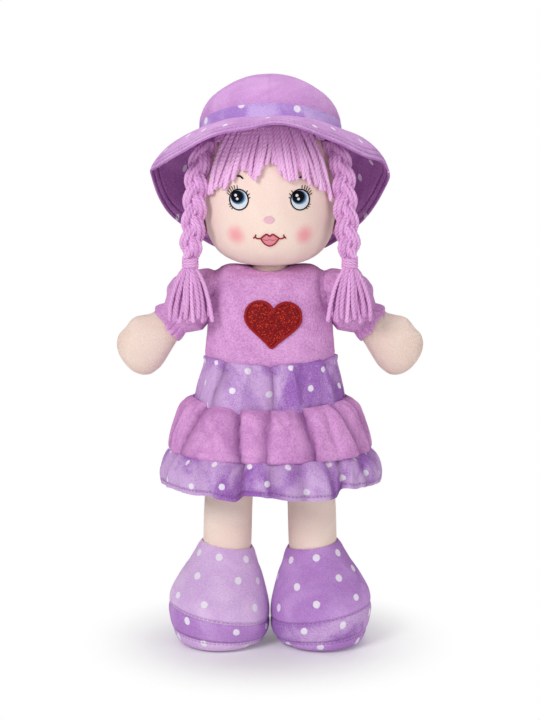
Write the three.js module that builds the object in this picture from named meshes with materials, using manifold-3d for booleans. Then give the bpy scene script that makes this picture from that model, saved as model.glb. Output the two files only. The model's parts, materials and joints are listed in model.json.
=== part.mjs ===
// Stuffed rag doll with a bucket hat, yarn plaits, a bodice with a heart and a three-tier skirt.
// Millimetres, +Z up. The doll faces -Y, so its own left side is +X. It stands on its soles at z = 0.

import * as THREE from 'three';
import { mergeVertices } from 'three/addons/utils/BufferGeometryUtils.js';
import Module from 'manifold-3d';

const wasm = await Module();
wasm.setup();

// Fits shared by all pieces
const seamGap = 0.3;
const socketClearance = 0.6;
const overrun = 6;
const leastStep = 0.6;
const weld = 0.02;
const fabricThickness = 1.3;
const skinThickness = 1.0;
const roundSides = 18;
const limbSides = 12;
const socketSides = 14;

// Body under the clothes
const bodyBottom = 166;
const bodyTop = 265;
const waistHeight = 204;
const bodyHalfWidth = 44.5;
const bodyHalfDepth = 30.5;
const bodyHeightShares = [0, 0.05, 0.14, 0.56, 0.76, 0.88, 0.96, 1];
const bodyWidthShares = [0.62, 0.86, 0.98, 1, 0.98, 0.95, 0.85, 0.6];
const bodyDepthShares = [0.6, 0.86, 0.98, 1, 0.97, 0.87, 0.7, 0.56];

// Neck, a stuffed column with a ball top that the head sits on
const neckBottom = 246;
const neckRadius = 13.5;
const neckBallRadius = 15;
const neckBallHeight = 266;
const neckBallShares = [0.3, 0.5, 0.68, 0.84, 0.95, 1];

// Head
const headBottom = 267;
const headTop = 385;
const headHalfWidth = 47;
const headHalfDepth = 45;
const headHeightShares = [0, 0.02, 0.09, 0.22, 0.4, 0.58, 0.75, 0.89, 0.975, 1];
const headWidthShares = [0, 0.37, 0.735, 0.935, 1, 0.97, 0.85, 0.61, 0.3, 0];

// Stitched face: patches that lie on the head
const patchThickness = 0.7;
const eyeHalfWidth = 7;
const eyeHalfHeight = 7.5;
const eyeAcross = 21.5;
const eyeHeight = 317;
const noseHalfWidth = 3.5;
const noseHalfHeight = 2.6;
const noseHeight = 303.5;
const lipsHalfWidth = 8;
const lipsHalfHeight = 3.8;
const lipsHeight = 290;
const lipsTopShares = [0, 0.55, 0.95, 0.6, 0.95, 0.55, 0];
const lipsBottomShares = [0, 0.55, 0.88, 1, 0.88, 0.55, 0];
const patchSides = 12;

// Hat, tilted back about its seam circle
const hatTilt = THREE.MathUtils.degToRad(22);
const hatSeamHeight = 352;
const hatSeamBack = 7;
const hatRadius = 49.5;
const hatThickness = 1.8;
const bandHeight = 10;
const crownHeight = 47.5;
const crownSides = 20;
const crownRiseShares = [0, 0.2, 0.42, 0.64, 0.84, 0.965, 1];
const crownRadiusShares = [0.985, 0.955, 0.87, 0.7, 0.47, 0.19, 0];
const liningThickness = 1.2;
const liningGap = 0.8;
const brimFrontReach = 80;
const brimAngleShares = [0, 0.08, 0.1667, 0.25, 0.3333, 0.5, 0.6667, 0.8333, 1];
const brimReachShares = [1, 1.005, 1.02, 1.03, 1.04, 1.045, 1, 0.89, 0.85];
const brimFrontHeight = 367;
const brimFall = 102;
const brimFallShares = [0, 0.02, 0.08, 0.16, 0.24, 0.38, 0.69, 0.92, 1];
const brimLift = 9;
const brimFrontLiftShare = 0.17;
const brimWave = 1.1;
const brimWaves = 7;
const brimSides = 32;
const brimSteps = 2;

// Hair: a yarn cap sewn to the head, a fringe, two plaits with tassels
const capThickness = 3.4;
const capLowest = 286;
const capFaceEdge = -11;
const capFrontEdge = 362;
const fringeTop = 361.4;
const fringeMiddleTip = 335;
const fringeSideTip = 312;
const fringeThickness = 2.6;
const fringeBase = 1.6;
const fringeHalfAngle = THREE.MathUtils.degToRad(47);
const fringeFanShare = 1.22;
const fringeStrands = 16;
const fringeNotch = 4;
const fringeRibShare = 0.6;
const fringeRows = 3;
const plaitRootAcross = 41.4;
const plaitRootForward = 18.9;
const plaitRootHeight = 354;
const plaitEndAcross = 54.5;
const plaitEndForward = 27;
const plaitEndHeight = 272;
const plaitDropShares = [0, 0.1, 0.2, 0.35, 0.53, 0.77, 1];
const plaitBowShares = [0, 0.3, 0.55, 0.68, 0.76, 0.88, 1];
const plaitHalfWidth = 8.2;
const plaitHalfDepth = 7;
const plaitCrossings = 6;
const plaitEndShares = [0, 0.12, 0.85, 1];
const plaitSizeShares = [0.74, 1, 1, 0.8];
const plaitPinchShare = 0.8;
const plaitEndRadius = 4.4;
const plaitSides = 8;
const plaitRings = 18;
const tieHeight = 7;
const tieThickness = 1.8;
const tasselLength = 42;
const tasselHalfWidth = 18;
const tasselHalfDepth = 6.6;
const tasselLengthShares = [0, 0.1, 0.2, 0.42, 0.72, 1];
const tasselWidthShares = [0.24, 0.24, 0.44, 0.7, 0.9, 1];
const tasselDepthShares = [0.66, 0.66, 0.84, 1, 1, 0.92];
const tasselFlutes = 8;
const tasselFluteShare = 0.06;

// Heart on the bodice front
const heartHalfWidth = 17;
const heartHeight = 234;
const heartHalfHeight = 15;
const heartWaveShares = [0.87, -0.33, -0.13, -0.07];
const heartBorder = 2.2;
const heartThickness = 0.9;
const heartSides = 28;

// Skirt tiers, each gathered at its top seam
const skirtThickness = 1.3;
const tierHeights = [waistHeight - seamGap, 172.5, 137, 114.5];
const tierTopWidths = [46.6, 55, 70.5];
const tierBottomWidths = [54, 70, 77.5];
const tierDepthShares = [0.695, 0.76, 0.8];
const tierBottomDepthShares = [0.76, 0.8, 0.83];
const tierFolds = [14, 13, 13];
const tierFoldDepths = [1.3, 2.4, 2.2];
const foldSamples = 4;
const tierDropShares = [0, 0.4, 1];
const tierSwellShares = [0, 0.72, 1];
const tierFoldShares = [0.25, 0.95, 0.95];

// Arms, set into the bodice as balls in sockets
const shoulderAcross = 42.5;
const shoulderHeight = 248;
const armDroop = THREE.MathUtils.degToRad(37);
const armLowered = THREE.MathUtils.degToRad(10);
const shoulderBallRadius = 16.6;
const armLength = 78;
const sleeveLength = 31;
const sleeveHalfWidth = 17.6;
const sleeveLengthShares = [0, 0.07, 0.2, 0.38, 0.58, 0.74, 0.9, 1];
const sleeveWidthShares = [0, 0.5, 0.8, 0.92, 1, 0.99, 0.82, 0.66];
const handHalfWidth = 18.2;
const handHalfDepth = 13.5;
const armLengthShares = [0, 0.2, 0.42, 0.62, 0.76, 0.87, 0.95, 0.99, 1];
const armWidthShares = [0.63, 0.72, 0.87, 0.99, 1, 0.86, 0.6, 0.28, 0];
const armDepthShares = [0.8, 0.84, 0.92, 1, 1, 0.86, 0.6, 0.28, 0];
const thumbShare = 0.44;
const thumbReachShare = 0.15;
const thumbRise = 3.2;
const cuffLength = 6.5;
const cuffRuffle = 3;
const cuffFolds = 9;
const cuffSamples = 3;
const cuffWaveShare = 0.33;
const knotRadius = 4;
const knotChannelRadius = 2.6;
const knotSides = 8;

// Legs and shoes
const hipAcross = 27.5;
const hipHeight = 148;
const legRadius = 17.5;
const ankleAcross = 30.5;
const ankleHeight = 69;
const shoeAcross = 36;
const shoeHalfWidth = 35;
const shoeHalfDepth = 38;
const shoeForward = 12;
const soleHeight = 7;
const bandTop = 24;
const shoeHeightShares = [0, 0.05, 0.15, 0.3, 0.44, 0.6, 0.8, 1];
const shoeWidthShares = [0.7, 0.84, 0.94, 1, 0.98, 0.88, 0.7, 0.51];
const shoeDepthShares = [0.72, 0.85, 0.945, 1, 0.965, 0.835, 0.64, 0.47];
const shoeLeanShares = [1, 1, 1, 1, 0.91, 0.65, 0.27, 0];
const legPivotShare = 0.79;
const legHeightShares = [0, 0.4, 0.79, 0.87, 0.935, 0.98, 1];
const legWidthShares = [0.99, 0.98, 1, 0.93, 0.74, 0.42, 0];

const up = new THREE.Vector3(0, 0, 1);
const across = new THREE.Vector3(1, 0, 0);
const front = new THREE.Vector3(0, -1, 0);
const origin = new THREE.Vector3();
const fullTurn = 2 * Math.PI;

function valueAt(shares, values, at) {
  const last = shares.length - 1;
  if (at <= shares[0]) return values[0];
  if (at >= shares[last]) return values[last];
  const next = shares.findIndex((share) => share > at);
  const part = (at - shares[next - 1]) / (shares[next] - shares[next - 1]);
  return THREE.MathUtils.lerp(values[next - 1], values[next], part);
}

// A closed body over a run of rings. Joined ends make a shell, free ends are closed flat.
function skinOver(rings, joinEnds) {
  const positions = [];
  const triangles = [];
  const known = new Map();
  const corner = (point) => {
    const key = point.toArray().map((value) => value.toFixed(5)).join(' ');
    if (!known.has(key)) {
      known.set(key, known.size);
      positions.push(...point.toArray());
    }
    return known.get(key);
  };
  const face = (a, b, c) => {
    if (a !== b && b !== c && c !== a) triangles.push(a, b, c);
  };
  const corners = rings.map((ring) => ring.map(corner));
  const pairs = joinEnds ? corners.length : corners.length - 1;
  for (let row = 0; row < pairs; row += 1) {
    const next = (row + 1) % corners.length;
    const lower = corners[row];
    const upper = corners[next];
    lower.forEach((here, i) => {
      const beside = (i + 1) % lower.length;
      const oneWay = rings[row][i].distanceTo(rings[next][beside]);
      const otherWay = rings[row][beside].distanceTo(rings[next][i]);
      if (oneWay <= otherWay) {
        face(here, lower[beside], upper[beside]);
        face(here, upper[beside], upper[i]);
      } else {
        face(here, lower[beside], upper[i]);
        face(lower[beside], upper[beside], upper[i]);
      }
    });
  }
  if (!joinEnds) {
    const close = (row, flipped) => {
      const middle = new THREE.Vector3();
      rings[row].forEach((point) => middle.addScaledVector(point, 1 / rings[row].length));
      const centre = corner(middle);
      corners[row].forEach((here, i) => {
        const beside = corners[row][(i + 1) % corners[row].length];
        if (flipped) face(centre, beside, here);
        else face(centre, here, beside);
      });
    };
    close(0, true);
    close(rings.length - 1, false);
  }
  return facingOut(positions, triangles);
}

function facingOut(positions, triangles) {
  const point = (i) => new THREE.Vector3().fromArray(positions, 3 * i);
  let volume = 0;
  for (let i = 0; i < triangles.length; i += 3) {
    const [a, b, c] = triangles.slice(i, i + 3).map(point);
    volume += a.dot(b.cross(c));
  }
  if (volume < 0) triangles.reverse();
  const geometry = new THREE.BufferGeometry();
  geometry.setAttribute('position', new THREE.Float32BufferAttribute(positions, 3));
  geometry.setIndex(triangles);
  return geometry;
}

// A thick sheet between an outer and an inner grid of points
function thickSheet(outer, inner) {
  const rim = (grid) => {
    const last = grid.length - 1;
    const end = grid[0].length - 1;
    return [
      ...grid[0],
      ...grid.slice(1, last).map((row) => row[end]),
      ...[...grid[last]].reverse(),
      ...grid.slice(1, last).map((row) => row[0]).reverse(),
    ];
  };
  const positions = [];
  const triangles = [];
  const known = new Map();
  const corner = (point) => {
    if (!known.has(point)) {
      known.set(point, known.size);
      positions.push(...point.toArray());
    }
    return known.get(point);
  };
  const quad = (a, b, c, d) => {
    const [i, j, k, l] = [a, b, c, d].map(corner);
    triangles.push(i, j, k, i, k, l);
  };
  for (let row = 0; row < outer.length - 1; row += 1) {
    for (let i = 0; i < outer[row].length - 1; i += 1) {
      quad(outer[row][i], outer[row][i + 1], outer[row + 1][i + 1], outer[row + 1][i]);
      quad(inner[row][i], inner[row + 1][i], inner[row + 1][i + 1], inner[row][i + 1]);
    }
  }
  const outerRim = rim(outer);
  const innerRim = rim(inner);
  outerRim.forEach((point, i) => {
    const beside = (i + 1) % outerRim.length;
    quad(outerRim[beside], point, innerRim[i], innerRim[beside]);
  });
  return facingOut(positions, triangles);
}

// Rings of a stuffed form, at a place along its axis and grown all round
function ringOf(form, at, grow) {
  const share = (at - form.bottom + grow) / (form.top - form.bottom + 2 * grow);
  const wide = form.halfWidth * valueAt(form.atShares, form.wideShares, share);
  const deep = form.halfDepth * valueAt(form.atShares, form.deepShares ?? form.wideShares, share);
  const middle = form.base.clone().addScaledVector(form.axis, at);
  if (form.shift) middle.add(form.shift(share));
  const points = [];
  for (let i = 0; i < form.sides; i += 1) {
    const angle = (fullTurn * i) / form.sides;
    const swell = form.swell ? form.swell(angle, share) : 0;
    const halfWidth = wide > 0 ? Math.max(wide + grow + swell, 0) : 0;
    const halfDepth = wide > 0 ? Math.max(deep + grow + swell, 0) : 0;
    points.push(
      middle
        .clone()
        .addScaledVector(form.across, halfWidth * Math.sin(angle))
        .addScaledVector(form.front, halfDepth * Math.cos(angle)),
    );
  }
  return points;
}

function ringsOf(form, low, high, grow) {
  const reach = form.top - form.bottom + 2 * grow;
  const between = form.atShares
    .map((share) => form.bottom - grow + share * reach)
    .filter((at) => at > low + leastStep && at < high - leastStep);
  return [low, ...between, high].map((at) => ringOf(form, at, grow));
}

function solidOf(form, low, high, grow = 0) {
  return skinOver(ringsOf(form, low, high, grow), false);
}

// A shell open at both ends, or at one where the form closes to a point
function shellOf(form, low, high, thickness, closedAt = '', grow = 0) {
  const innerLow = closedAt === 'low' ? low + thickness : low;
  const innerHigh = closedAt === 'high' ? high - thickness : high;
  const outer = ringsOf(form, low, high, grow);
  const inner = ringsOf(form, innerLow, innerHigh, grow - thickness).reverse();
  if (closedAt === '') return skinOver([...outer, ...inner], true);
  const middleOf = (ring) => {
    const middle = new THREE.Vector3();
    ring.forEach((point) => middle.addScaledVector(point, 1 / ring.length));
    return ring.map(() => middle.clone());
  };
  if (closedAt === 'low') {
    const floor = middleOf(outer[0]);
    const lining = middleOf(inner[inner.length - 1]);
    return skinOver([floor, ...outer, ...inner, lining], true);
  }
  const roof = middleOf(outer[outer.length - 1]);
  const lining = middleOf(inner[0]);
  return skinOver([...outer, roof, lining, ...inner], true);
}

function toSolid(geometry) {
  const mesh = new wasm.Mesh({
    numProp: 3,
    vertProperties: new Float32Array(geometry.getAttribute('position').array),
    triVerts: new Uint32Array(geometry.getIndex().array),
  });
  return new wasm.Manifold(mesh);
}

function toGeometry(solid) {
  const mesh = solid.getMesh();
  const positions = [];
  for (let i = 0; i < mesh.vertProperties.length; i += mesh.numProp) {
    positions.push(...mesh.vertProperties.slice(i, i + 3));
  }
  const geometry = new THREE.BufferGeometry();
  geometry.setAttribute('position', new THREE.Float32BufferAttribute(positions, 3));
  geometry.setIndex(Array.from(mesh.triVerts));
  const welded = mergeVertices(geometry, weld);
  const corners = Array.from(welded.getIndex().array);
  const whole = [];
  for (let i = 0; i < corners.length; i += 3) {
    const [a, b, c] = corners.slice(i, i + 3);
    if (a !== b && b !== c && c !== a) whole.push(a, b, c);
  }
  welded.setIndex(whole);
  return welded;
}

function cut(geometry, ...tools) {
  return toGeometry(tools.reduce((solid, tool) => solid.subtract(toSolid(tool)), toSolid(geometry)));
}

function join(geometry, ...others) {
  return toGeometry(others.reduce((solid, other) => solid.add(toSolid(other)), toSolid(geometry)));
}

function common(geometry, other) {
  return toGeometry(toSolid(geometry).intersect(toSolid(other)));
}

// The largest piece left by a cut, without slivers
function mainPiece(geometry) {
  const pieces = toSolid(geometry).decompose();
  pieces.sort((a, b) => b.volume() - a.volume());
  return toGeometry(pieces[0]);
}

function ball(centre, radius, sides) {
  const rows = sides / 2;
  const rings = [];
  for (let row = 0; row <= rows; row += 1) {
    const polar = (Math.PI * row) / rows;
    const ring = [];
    for (let i = 0; i < sides; i += 1) {
      const angle = (fullTurn * i) / sides;
      ring.push(
        new THREE.Vector3(
          centre.x + radius * Math.sin(polar) * Math.cos(angle),
          centre.y + radius * Math.sin(polar) * Math.sin(angle),
          centre.z - radius * Math.cos(polar),
        ),
      );
    }
    rings.push(row === 0 || row === rows ? ring.map(() => ring[0].clone()) : ring);
  }
  rings[0].forEach((point) => point.set(centre.x, centre.y, centre.z - radius));
  rings[rows].forEach((point) => point.set(centre.x, centre.y, centre.z + radius));
  return skinOver(rings, false);
}

function block(low, high) {
  const size = high.clone().sub(low);
  const box = new THREE.BoxGeometry(size.x, size.y, size.z).toNonIndexed();
  box.translate(...low.clone().add(high).multiplyScalar(0.5).toArray());
  const corners = [];
  for (let i = 0; i < box.getAttribute('position').count; i += 1) {
    corners.push(new THREE.Vector3().fromBufferAttribute(box.getAttribute('position'), i));
  }
  const known = new Map();
  const positions = [];
  const triangles = corners.map((point) => {
    const key = point.toArray().map((value) => value.toFixed(5)).join(' ');
    if (!known.has(key)) {
      known.set(key, known.size);
      positions.push(...point.toArray());
    }
    return known.get(key);
  });
  return facingOut(positions, triangles);
}

function turnedAbout(geometry, pivot, axis, angle) {
  const turned = geometry.clone();
  turned.translate(-pivot.x, -pivot.y, -pivot.z);
  turned.applyMatrix4(new THREE.Matrix4().makeRotationAxis(axis, angle));
  return turned.translate(pivot.x, pivot.y, pivot.z);
}

// An outline in the front view pushed back as a prism from in front of the doll to its middle
function frontPrism(outline, reach) {
  const ringAt = (y) => outline.map(([x, z]) => new THREE.Vector3(x, y, z));
  return skinOver([ringAt(0), ringAt(-reach)], false);
}

const paint = (colour, roughness = 0.9) =>
  new THREE.MeshStandardMaterial({ color: colour, roughness, metalness: 0 });
const skinPaint = () => paint(0xf5dfd3);
const plushPaint = () => paint(0xc389c0);
const lilacPaint = () => paint(0xdba8de);
const dottedPaint = () => paint(0xc99ad9);
const yarnPaint = () => paint(0xcc8dc9, 0.95);
const fillPaint = () => paint(0xf2efe8, 1);

const doll = new THREE.Group();

function place(name, geometry, material, group = doll) {
  geometry.computeVertexNormals();
  const mesh = new THREE.Mesh(geometry, material);
  mesh.name = name;
  group.add(mesh);
  return mesh;
}

const sidesOfDoll = [
  { name: 'left', sign: 1 },
  { name: 'right', sign: -1 },
];

// Forms
const bodyForm = {
  base: origin, axis: up, across, front,
  bottom: bodyBottom, top: bodyTop,
  halfWidth: bodyHalfWidth, halfDepth: bodyHalfDepth,
  atShares: bodyHeightShares, wideShares: bodyWidthShares, deepShares: bodyDepthShares,
  sides: roundSides,
};
const headForm = {
  base: origin, axis: up, across, front,
  bottom: headBottom, top: headTop,
  halfWidth: headHalfWidth, halfDepth: headHalfDepth,
  atShares: headHeightShares, wideShares: headWidthShares,
  sides: roundSides,
};

function neckSolid(grow) {
  const rings = [];
  const ringAt = (height, radius) => {
    const ring = [];
    for (let i = 0; i < limbSides; i += 1) {
      const angle = (fullTurn * i) / limbSides;
      ring.push(new THREE.Vector3(radius * Math.sin(angle), radius * Math.cos(angle), height));
    }
    return ring;
  };
  rings.push(ringAt(neckBottom - grow, neckRadius + grow));
  const radius = neckBallRadius + grow;
  neckBallShares.forEach((share) => {
    const height = radius * (2 * share - 1);
    rings.push(ringAt(neckBallHeight + height, Math.sqrt(Math.max(radius ** 2 - height ** 2, 0))));
  });
  return skinOver(rings, false);
}

// Shoulders
function armFrame(sign) {
  const pivot = new THREE.Vector3(sign * shoulderAcross, 0, shoulderHeight);
  const axis = new THREE.Vector3(sign * Math.cos(armDroop), 0, -Math.sin(armDroop));
  const upperSide = new THREE.Vector3(sign * Math.sin(armDroop), 0, Math.cos(armDroop));
  return { pivot, axis, upperSide };
}
const socketRadius = (shoulderBallRadius + socketClearance) / Math.cos(Math.PI / socketSides) ** 2;
const shoulderSockets = sidesOfDoll.map(({ sign }) =>
  ball(armFrame(sign).pivot, socketRadius, socketSides),
);

// Body, sewn from a front and a back bodice panel over a hip panel, all round one filling
const sideSeam = seamGap / 2;
const farSide = bodyHalfWidth + overrun;
function bodicePanel(frontSide) {
  const shell = shellOf(bodyForm, waistHeight, bodyTop, fabricThickness);
  const low = new THREE.Vector3(-farSide, frontSide ? -sideSeam : -farSide, waistHeight - overrun);
  const high = new THREE.Vector3(farSide, frontSide ? farSide : sideSeam, bodyTop + overrun);
  return cut(shell, block(low, high), neckSolid(socketClearance), ...shoulderSockets);
}
place('bodice_front', bodicePanel(true), plushPaint());
place('bodice_back', bodicePanel(false), plushPaint());
place(
  'hip_panel',
  shellOf(bodyForm, bodyBottom, waistHeight - seamGap, fabricThickness, 'low'),
  skinPaint(),
);
const fillingInset = fabricThickness + seamGap;
place(
  'body_filling',
  cut(
    solidOf(bodyForm, bodyBottom + fillingInset, bodyTop - fillingInset, -fillingInset),
    neckSolid(socketClearance),
    ...shoulderSockets,
  ),
  fillPaint(),
);
place('neck', neckSolid(0), skinPaint());

// Heart, a panel inside a stitched border, laid on the bodice front
function heartOutline(grow) {
  const points = [];
  for (let i = 0; i < heartSides; i += 1) {
    const angle = (fullTurn * (i + 0.5)) / heartSides;
    const wide = Math.sin(angle) ** 3;
    const tall = heartWaveShares.reduce((sum, share, k) => sum + share * Math.cos((k + 1) * angle), 0);
    points.push([(heartHalfWidth + grow) * wide, heartHeight + (heartHalfHeight + grow) * tall]);
  }
  return points;
}
const heartSkin = (low, high) =>
  cut(
    solidOf(bodyForm, bodyBottom - high, bodyTop + high, high),
    solidOf(bodyForm, bodyBottom - low, bodyTop + low, low),
  );
const heartLayer = heartSkin(seamGap, seamGap + heartThickness);
const heartInner = frontPrism(heartOutline(0), farSide);
const heartGapped = frontPrism(heartOutline(seamGap), farSide);
const heartOuter = frontPrism(heartOutline(heartBorder), farSide);
place('heart_panel', common(heartLayer, heartInner), paint(0x891d1e, 0.5));
place('heart_border', cut(common(heartLayer, heartOuter), heartGapped), paint(0x8a1421, 0.6));

// Skirt
function tierShell(tier) {
  const top = tierHeights[tier] - (tier > 0 ? seamGap : 0);
  const bottom = tierHeights[tier + 1];
  const count = tierFolds[tier] * foldSamples;
  const ringAt = (row, inset) => {
    const height = THREE.MathUtils.lerp(top, bottom, tierDropShares[row]);
    const swell = tierSwellShares[row];
    const halfWidth = THREE.MathUtils.lerp(tierTopWidths[tier], tierBottomWidths[tier], swell);
    const depthShare = THREE.MathUtils.lerp(tierDepthShares[tier], tierBottomDepthShares[tier], swell);
    const fold = tierFoldDepths[tier] * tierFoldShares[row];
    const ring = [];
    for (let i = 0; i < count; i += 1) {
      const angle = (fullTurn * i) / count;
      const wave = fold * Math.cos(tierFolds[tier] * angle) - inset;
      ring.push(
        new THREE.Vector3(
          (halfWidth + wave) * Math.sin(angle),
          -(halfWidth * depthShare + wave) * Math.cos(angle),
          height,
        ),
      );
    }
    return ring;
  };
  const rows = tierDropShares.map((_, row) => row);
  const outer = rows.map((row) => ringAt(row, 0));
  const inner = rows.map((row) => ringAt(row, skirtThickness)).reverse();
  return skinOver([...outer, ...inner], true);
}
['skirt_upper_tier', 'skirt_middle_tier', 'skirt_hem_tier'].forEach((name, tier) => {
  place(name, tierShell(tier), tier === 1 ? lilacPaint() : dottedPaint());
});

// Head
const neckSocket = neckSolid(socketClearance);
const headMouth = headBottom + seamGap;
place(
  'head_skin',
  cut(shellOf(headForm, headMouth, headTop, skinThickness, 'high'), neckSocket),
  skinPaint(),
);
const headInset = skinThickness + seamGap;
place(
  'head_filling',
  cut(solidOf(headForm, headBottom + headInset, headTop - headInset, -headInset), neckSocket),
  fillPaint(),
);

function facePatch(outline) {
  const outer = solidOf(headForm, headBottom - patchThickness, headTop + patchThickness, seamGap + patchThickness);
  const inner = solidOf(headForm, headBottom - seamGap, headTop + seamGap, seamGap);
  return common(cut(outer, inner), frontPrism(outline, headHalfDepth + overrun));
}
function ovalOutline(x, z, halfWidth, halfHeight) {
  const points = [];
  for (let i = 0; i < patchSides; i += 1) {
    const angle = (fullTurn * i) / patchSides;
    points.push([x + halfWidth * Math.sin(angle), z + halfHeight * Math.cos(angle)]);
  }
  return points;
}
function lipsOutline() {
  const steps = lipsTopShares.length - 1;
  const along = (i) => lipsHalfWidth * ((2 * i) / steps - 1);
  const points = lipsTopShares.map((share, i) => [along(i), lipsHeight + lipsHalfHeight * share]);
  for (let i = steps - 1; i > 0; i -= 1) {
    points.push([along(i), lipsHeight - lipsHalfHeight * lipsBottomShares[i]]);
  }
  return points;
}
sidesOfDoll.forEach(({ name, sign }) => {
  const outline = ovalOutline(sign * eyeAcross, eyeHeight, eyeHalfWidth, eyeHalfHeight);
  place(`${name}_eye`, facePatch(outline), paint(0x202632, 0.4));
});
place('nose', facePatch(ovalOutline(0, noseHeight, noseHalfWidth, noseHalfHeight)), paint(0xe79aa8, 0.7));
place('lips', facePatch(lipsOutline()), paint(0xd37c90, 0.7));

// Hat, modelled upright about its seam circle and tilted back as a group
const hat = new THREE.Group();
hat.position.set(0, hatSeamBack, hatSeamHeight);
hat.rotation.x = -hatTilt;
doll.add(hat);
hat.updateMatrixWorld(true);

const crownForm = {
  base: origin, axis: up, across, front,
  bottom: bandHeight + seamGap, top: crownHeight,
  halfWidth: hatRadius, halfDepth: hatRadius,
  atShares: crownRiseShares, wideShares: crownRadiusShares,
  sides: crownSides,
};
const crownShell = () => {
  const outer = ringsOf(crownForm, crownForm.bottom, crownHeight, 0);
  const innerForm = {
    ...crownForm,
    top: crownHeight - hatThickness,
    halfWidth: hatRadius - hatThickness,
    halfDepth: hatRadius - hatThickness,
  };
  const inner = ringsOf(innerForm, innerForm.bottom, innerForm.top, 0).reverse();
  return skinOver([...outer, ...inner], true);
};
const hatReach = hatRadius + overrun;
sidesOfDoll.forEach(({ name, sign }) => {
  const low = new THREE.Vector3(-hatReach, -hatReach, -overrun);
  const high = new THREE.Vector3(hatReach, hatReach, crownHeight + overrun);
  if (sign > 0) high.x = seamGap / 2;
  else low.x = -seamGap / 2;
  place(`hat_crown_${name}`, cut(crownShell(), block(low, high)), lilacPaint(), hat);
});
const bandForm = {
  ...crownForm,
  bottom: seamGap, top: bandHeight,
  atShares: [0, 1], wideShares: [1, crownRadiusShares[0]],
};
place('hat_band', shellOf(bandForm, seamGap, bandHeight, hatThickness), dottedPaint(), hat);

const toHat = hat.matrixWorld.clone().invert();
function brimPoint(turn, out) {
  const angle = Math.PI * turn;
  const foldedTurn = Math.abs(turn > 1 ? turn - 2 : turn);
  const reach = brimFrontReach * valueAt(brimAngleShares, brimReachShares, foldedTurn);
  const fall = brimFall * valueAt(brimAngleShares, brimFallShares, foldedTurn);
  const seam = new THREE.Vector3(hatRadius * Math.sin(angle), -hatRadius * Math.cos(angle), 0);
  const wave = brimWave * Math.sin(brimWaves * angle);
  const edge = new THREE.Vector3(reach * Math.sin(angle), -reach * Math.cos(angle), brimFrontHeight - fall + wave);
  edge.applyMatrix4(toHat);
  const lift = brimLift * THREE.MathUtils.lerp(brimFrontLiftShare, 1, Math.min(2 * foldedTurn, 1));
  const middle = seam.clone().lerp(edge, 0.5);
  middle.z += 2 * lift;
  return seam
    .multiplyScalar((1 - out) ** 2)
    .addScaledVector(middle, 2 * out * (1 - out))
    .addScaledVector(edge, out ** 2);
}
function brimNormal(turn, out) {
  const nudge = 0.01;
  const alongTurn = brimPoint(turn + nudge, out).sub(brimPoint(turn - nudge, out));
  const outward = brimPoint(turn, out + nudge).sub(brimPoint(turn, out - nudge));
  return alongTurn.cross(outward).normalize();
}
function brimShell(near, far) {
  const ringAt = (row, depth) => {
    const ring = [];
    for (let i = 0; i < brimSides; i += 1) {
      const turn = (2 * i) / brimSides;
      const out = row / brimSteps;
      ring.push(brimPoint(turn, out).addScaledVector(brimNormal(turn, out), depth));
    }
    return ring;
  };
  const rings = [];
  for (let row = 0; row <= brimSteps; row += 1) rings.push(ringAt(row, near));
  for (let row = brimSteps; row >= 0; row -= 1) rings.push(ringAt(row, far));
  return skinOver(rings, true);
}
place('hat_brim', brimShell(0, hatThickness), dottedPaint(), hat);
const liningTop = hatThickness + liningGap;
place('hat_brim_lining', brimShell(liningTop, liningTop + liningThickness), paint(0xa071b0), hat);

// Hair cap, the yarn sewn over the head, filled out under the hat
const faceCut = block(
  new THREE.Vector3(-farSide, -farSide, headBottom),
  new THREE.Vector3(farSide, capFaceEdge, capFrontEdge),
);
const headCut = solidOf(headForm, headBottom - seamGap, headTop + seamGap, seamGap);
const domeInset = hatThickness + seamGap;
const domeForm = {
  ...crownForm,
  top: crownHeight - domeInset,
  halfWidth: hatRadius - domeInset,
  halfDepth: hatRadius - domeInset,
};
const domeRings = [
  ringOf({ ...bandForm, halfWidth: domeForm.halfWidth, halfDepth: domeForm.halfWidth }, seamGap, 0),
  ...ringsOf(domeForm, domeForm.bottom, domeForm.top, 0),
];
const capDome = skinOver(domeRings, false).applyMatrix4(hat.matrixWorld);
const capSides = solidOf(headForm, capLowest, headTop + capThickness, capThickness);
place('hair_cap', cut(join(capSides, capDome), headCut, faceCut), yarnPaint());

// Fringe, a ribbed strip whose lower edge is cut into strands
function headPoint(angle, height, out) {
  const share = (height - headBottom) / (headTop - headBottom);
  const size = valueAt(headHeightShares, headWidthShares, share);
  return new THREE.Vector3(
    (headHalfWidth * size + out) * Math.sin(angle),
    -(headHalfDepth * size + out) * Math.cos(angle),
    height,
  );
}
function fringeGrid(outerSide) {
  const rows = [];
  const columns = 2 * fringeStrands;
  for (let row = 0; row <= fringeRows; row += 1) {
    const points = [];
    for (let i = 0; i <= columns; i += 1) {
      const place01 = (2 * i) / columns - 1;
      const onStrand = i % 2 === 1;
      const tip = THREE.MathUtils.lerp(fringeMiddleTip, fringeSideTip, place01 ** 2);
      const end = onStrand ? tip : tip + fringeNotch;
      const drop = row / fringeRows;
      const height = THREE.MathUtils.lerp(fringeTop, end, drop);
      const angle = fringeHalfAngle * place01 * THREE.MathUtils.lerp(1, fringeFanShare, drop);
      const rise = onStrand ? fringeThickness : fringeThickness * fringeRibShare;
      points.push(headPoint(angle, height, outerSide ? fringeBase + rise : fringeBase));
    }
    rows.push(points);
  }
  return rows;
}
place('fringe', thickSheet(fringeGrid(true), fringeGrid(false)), yarnPaint());

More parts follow.
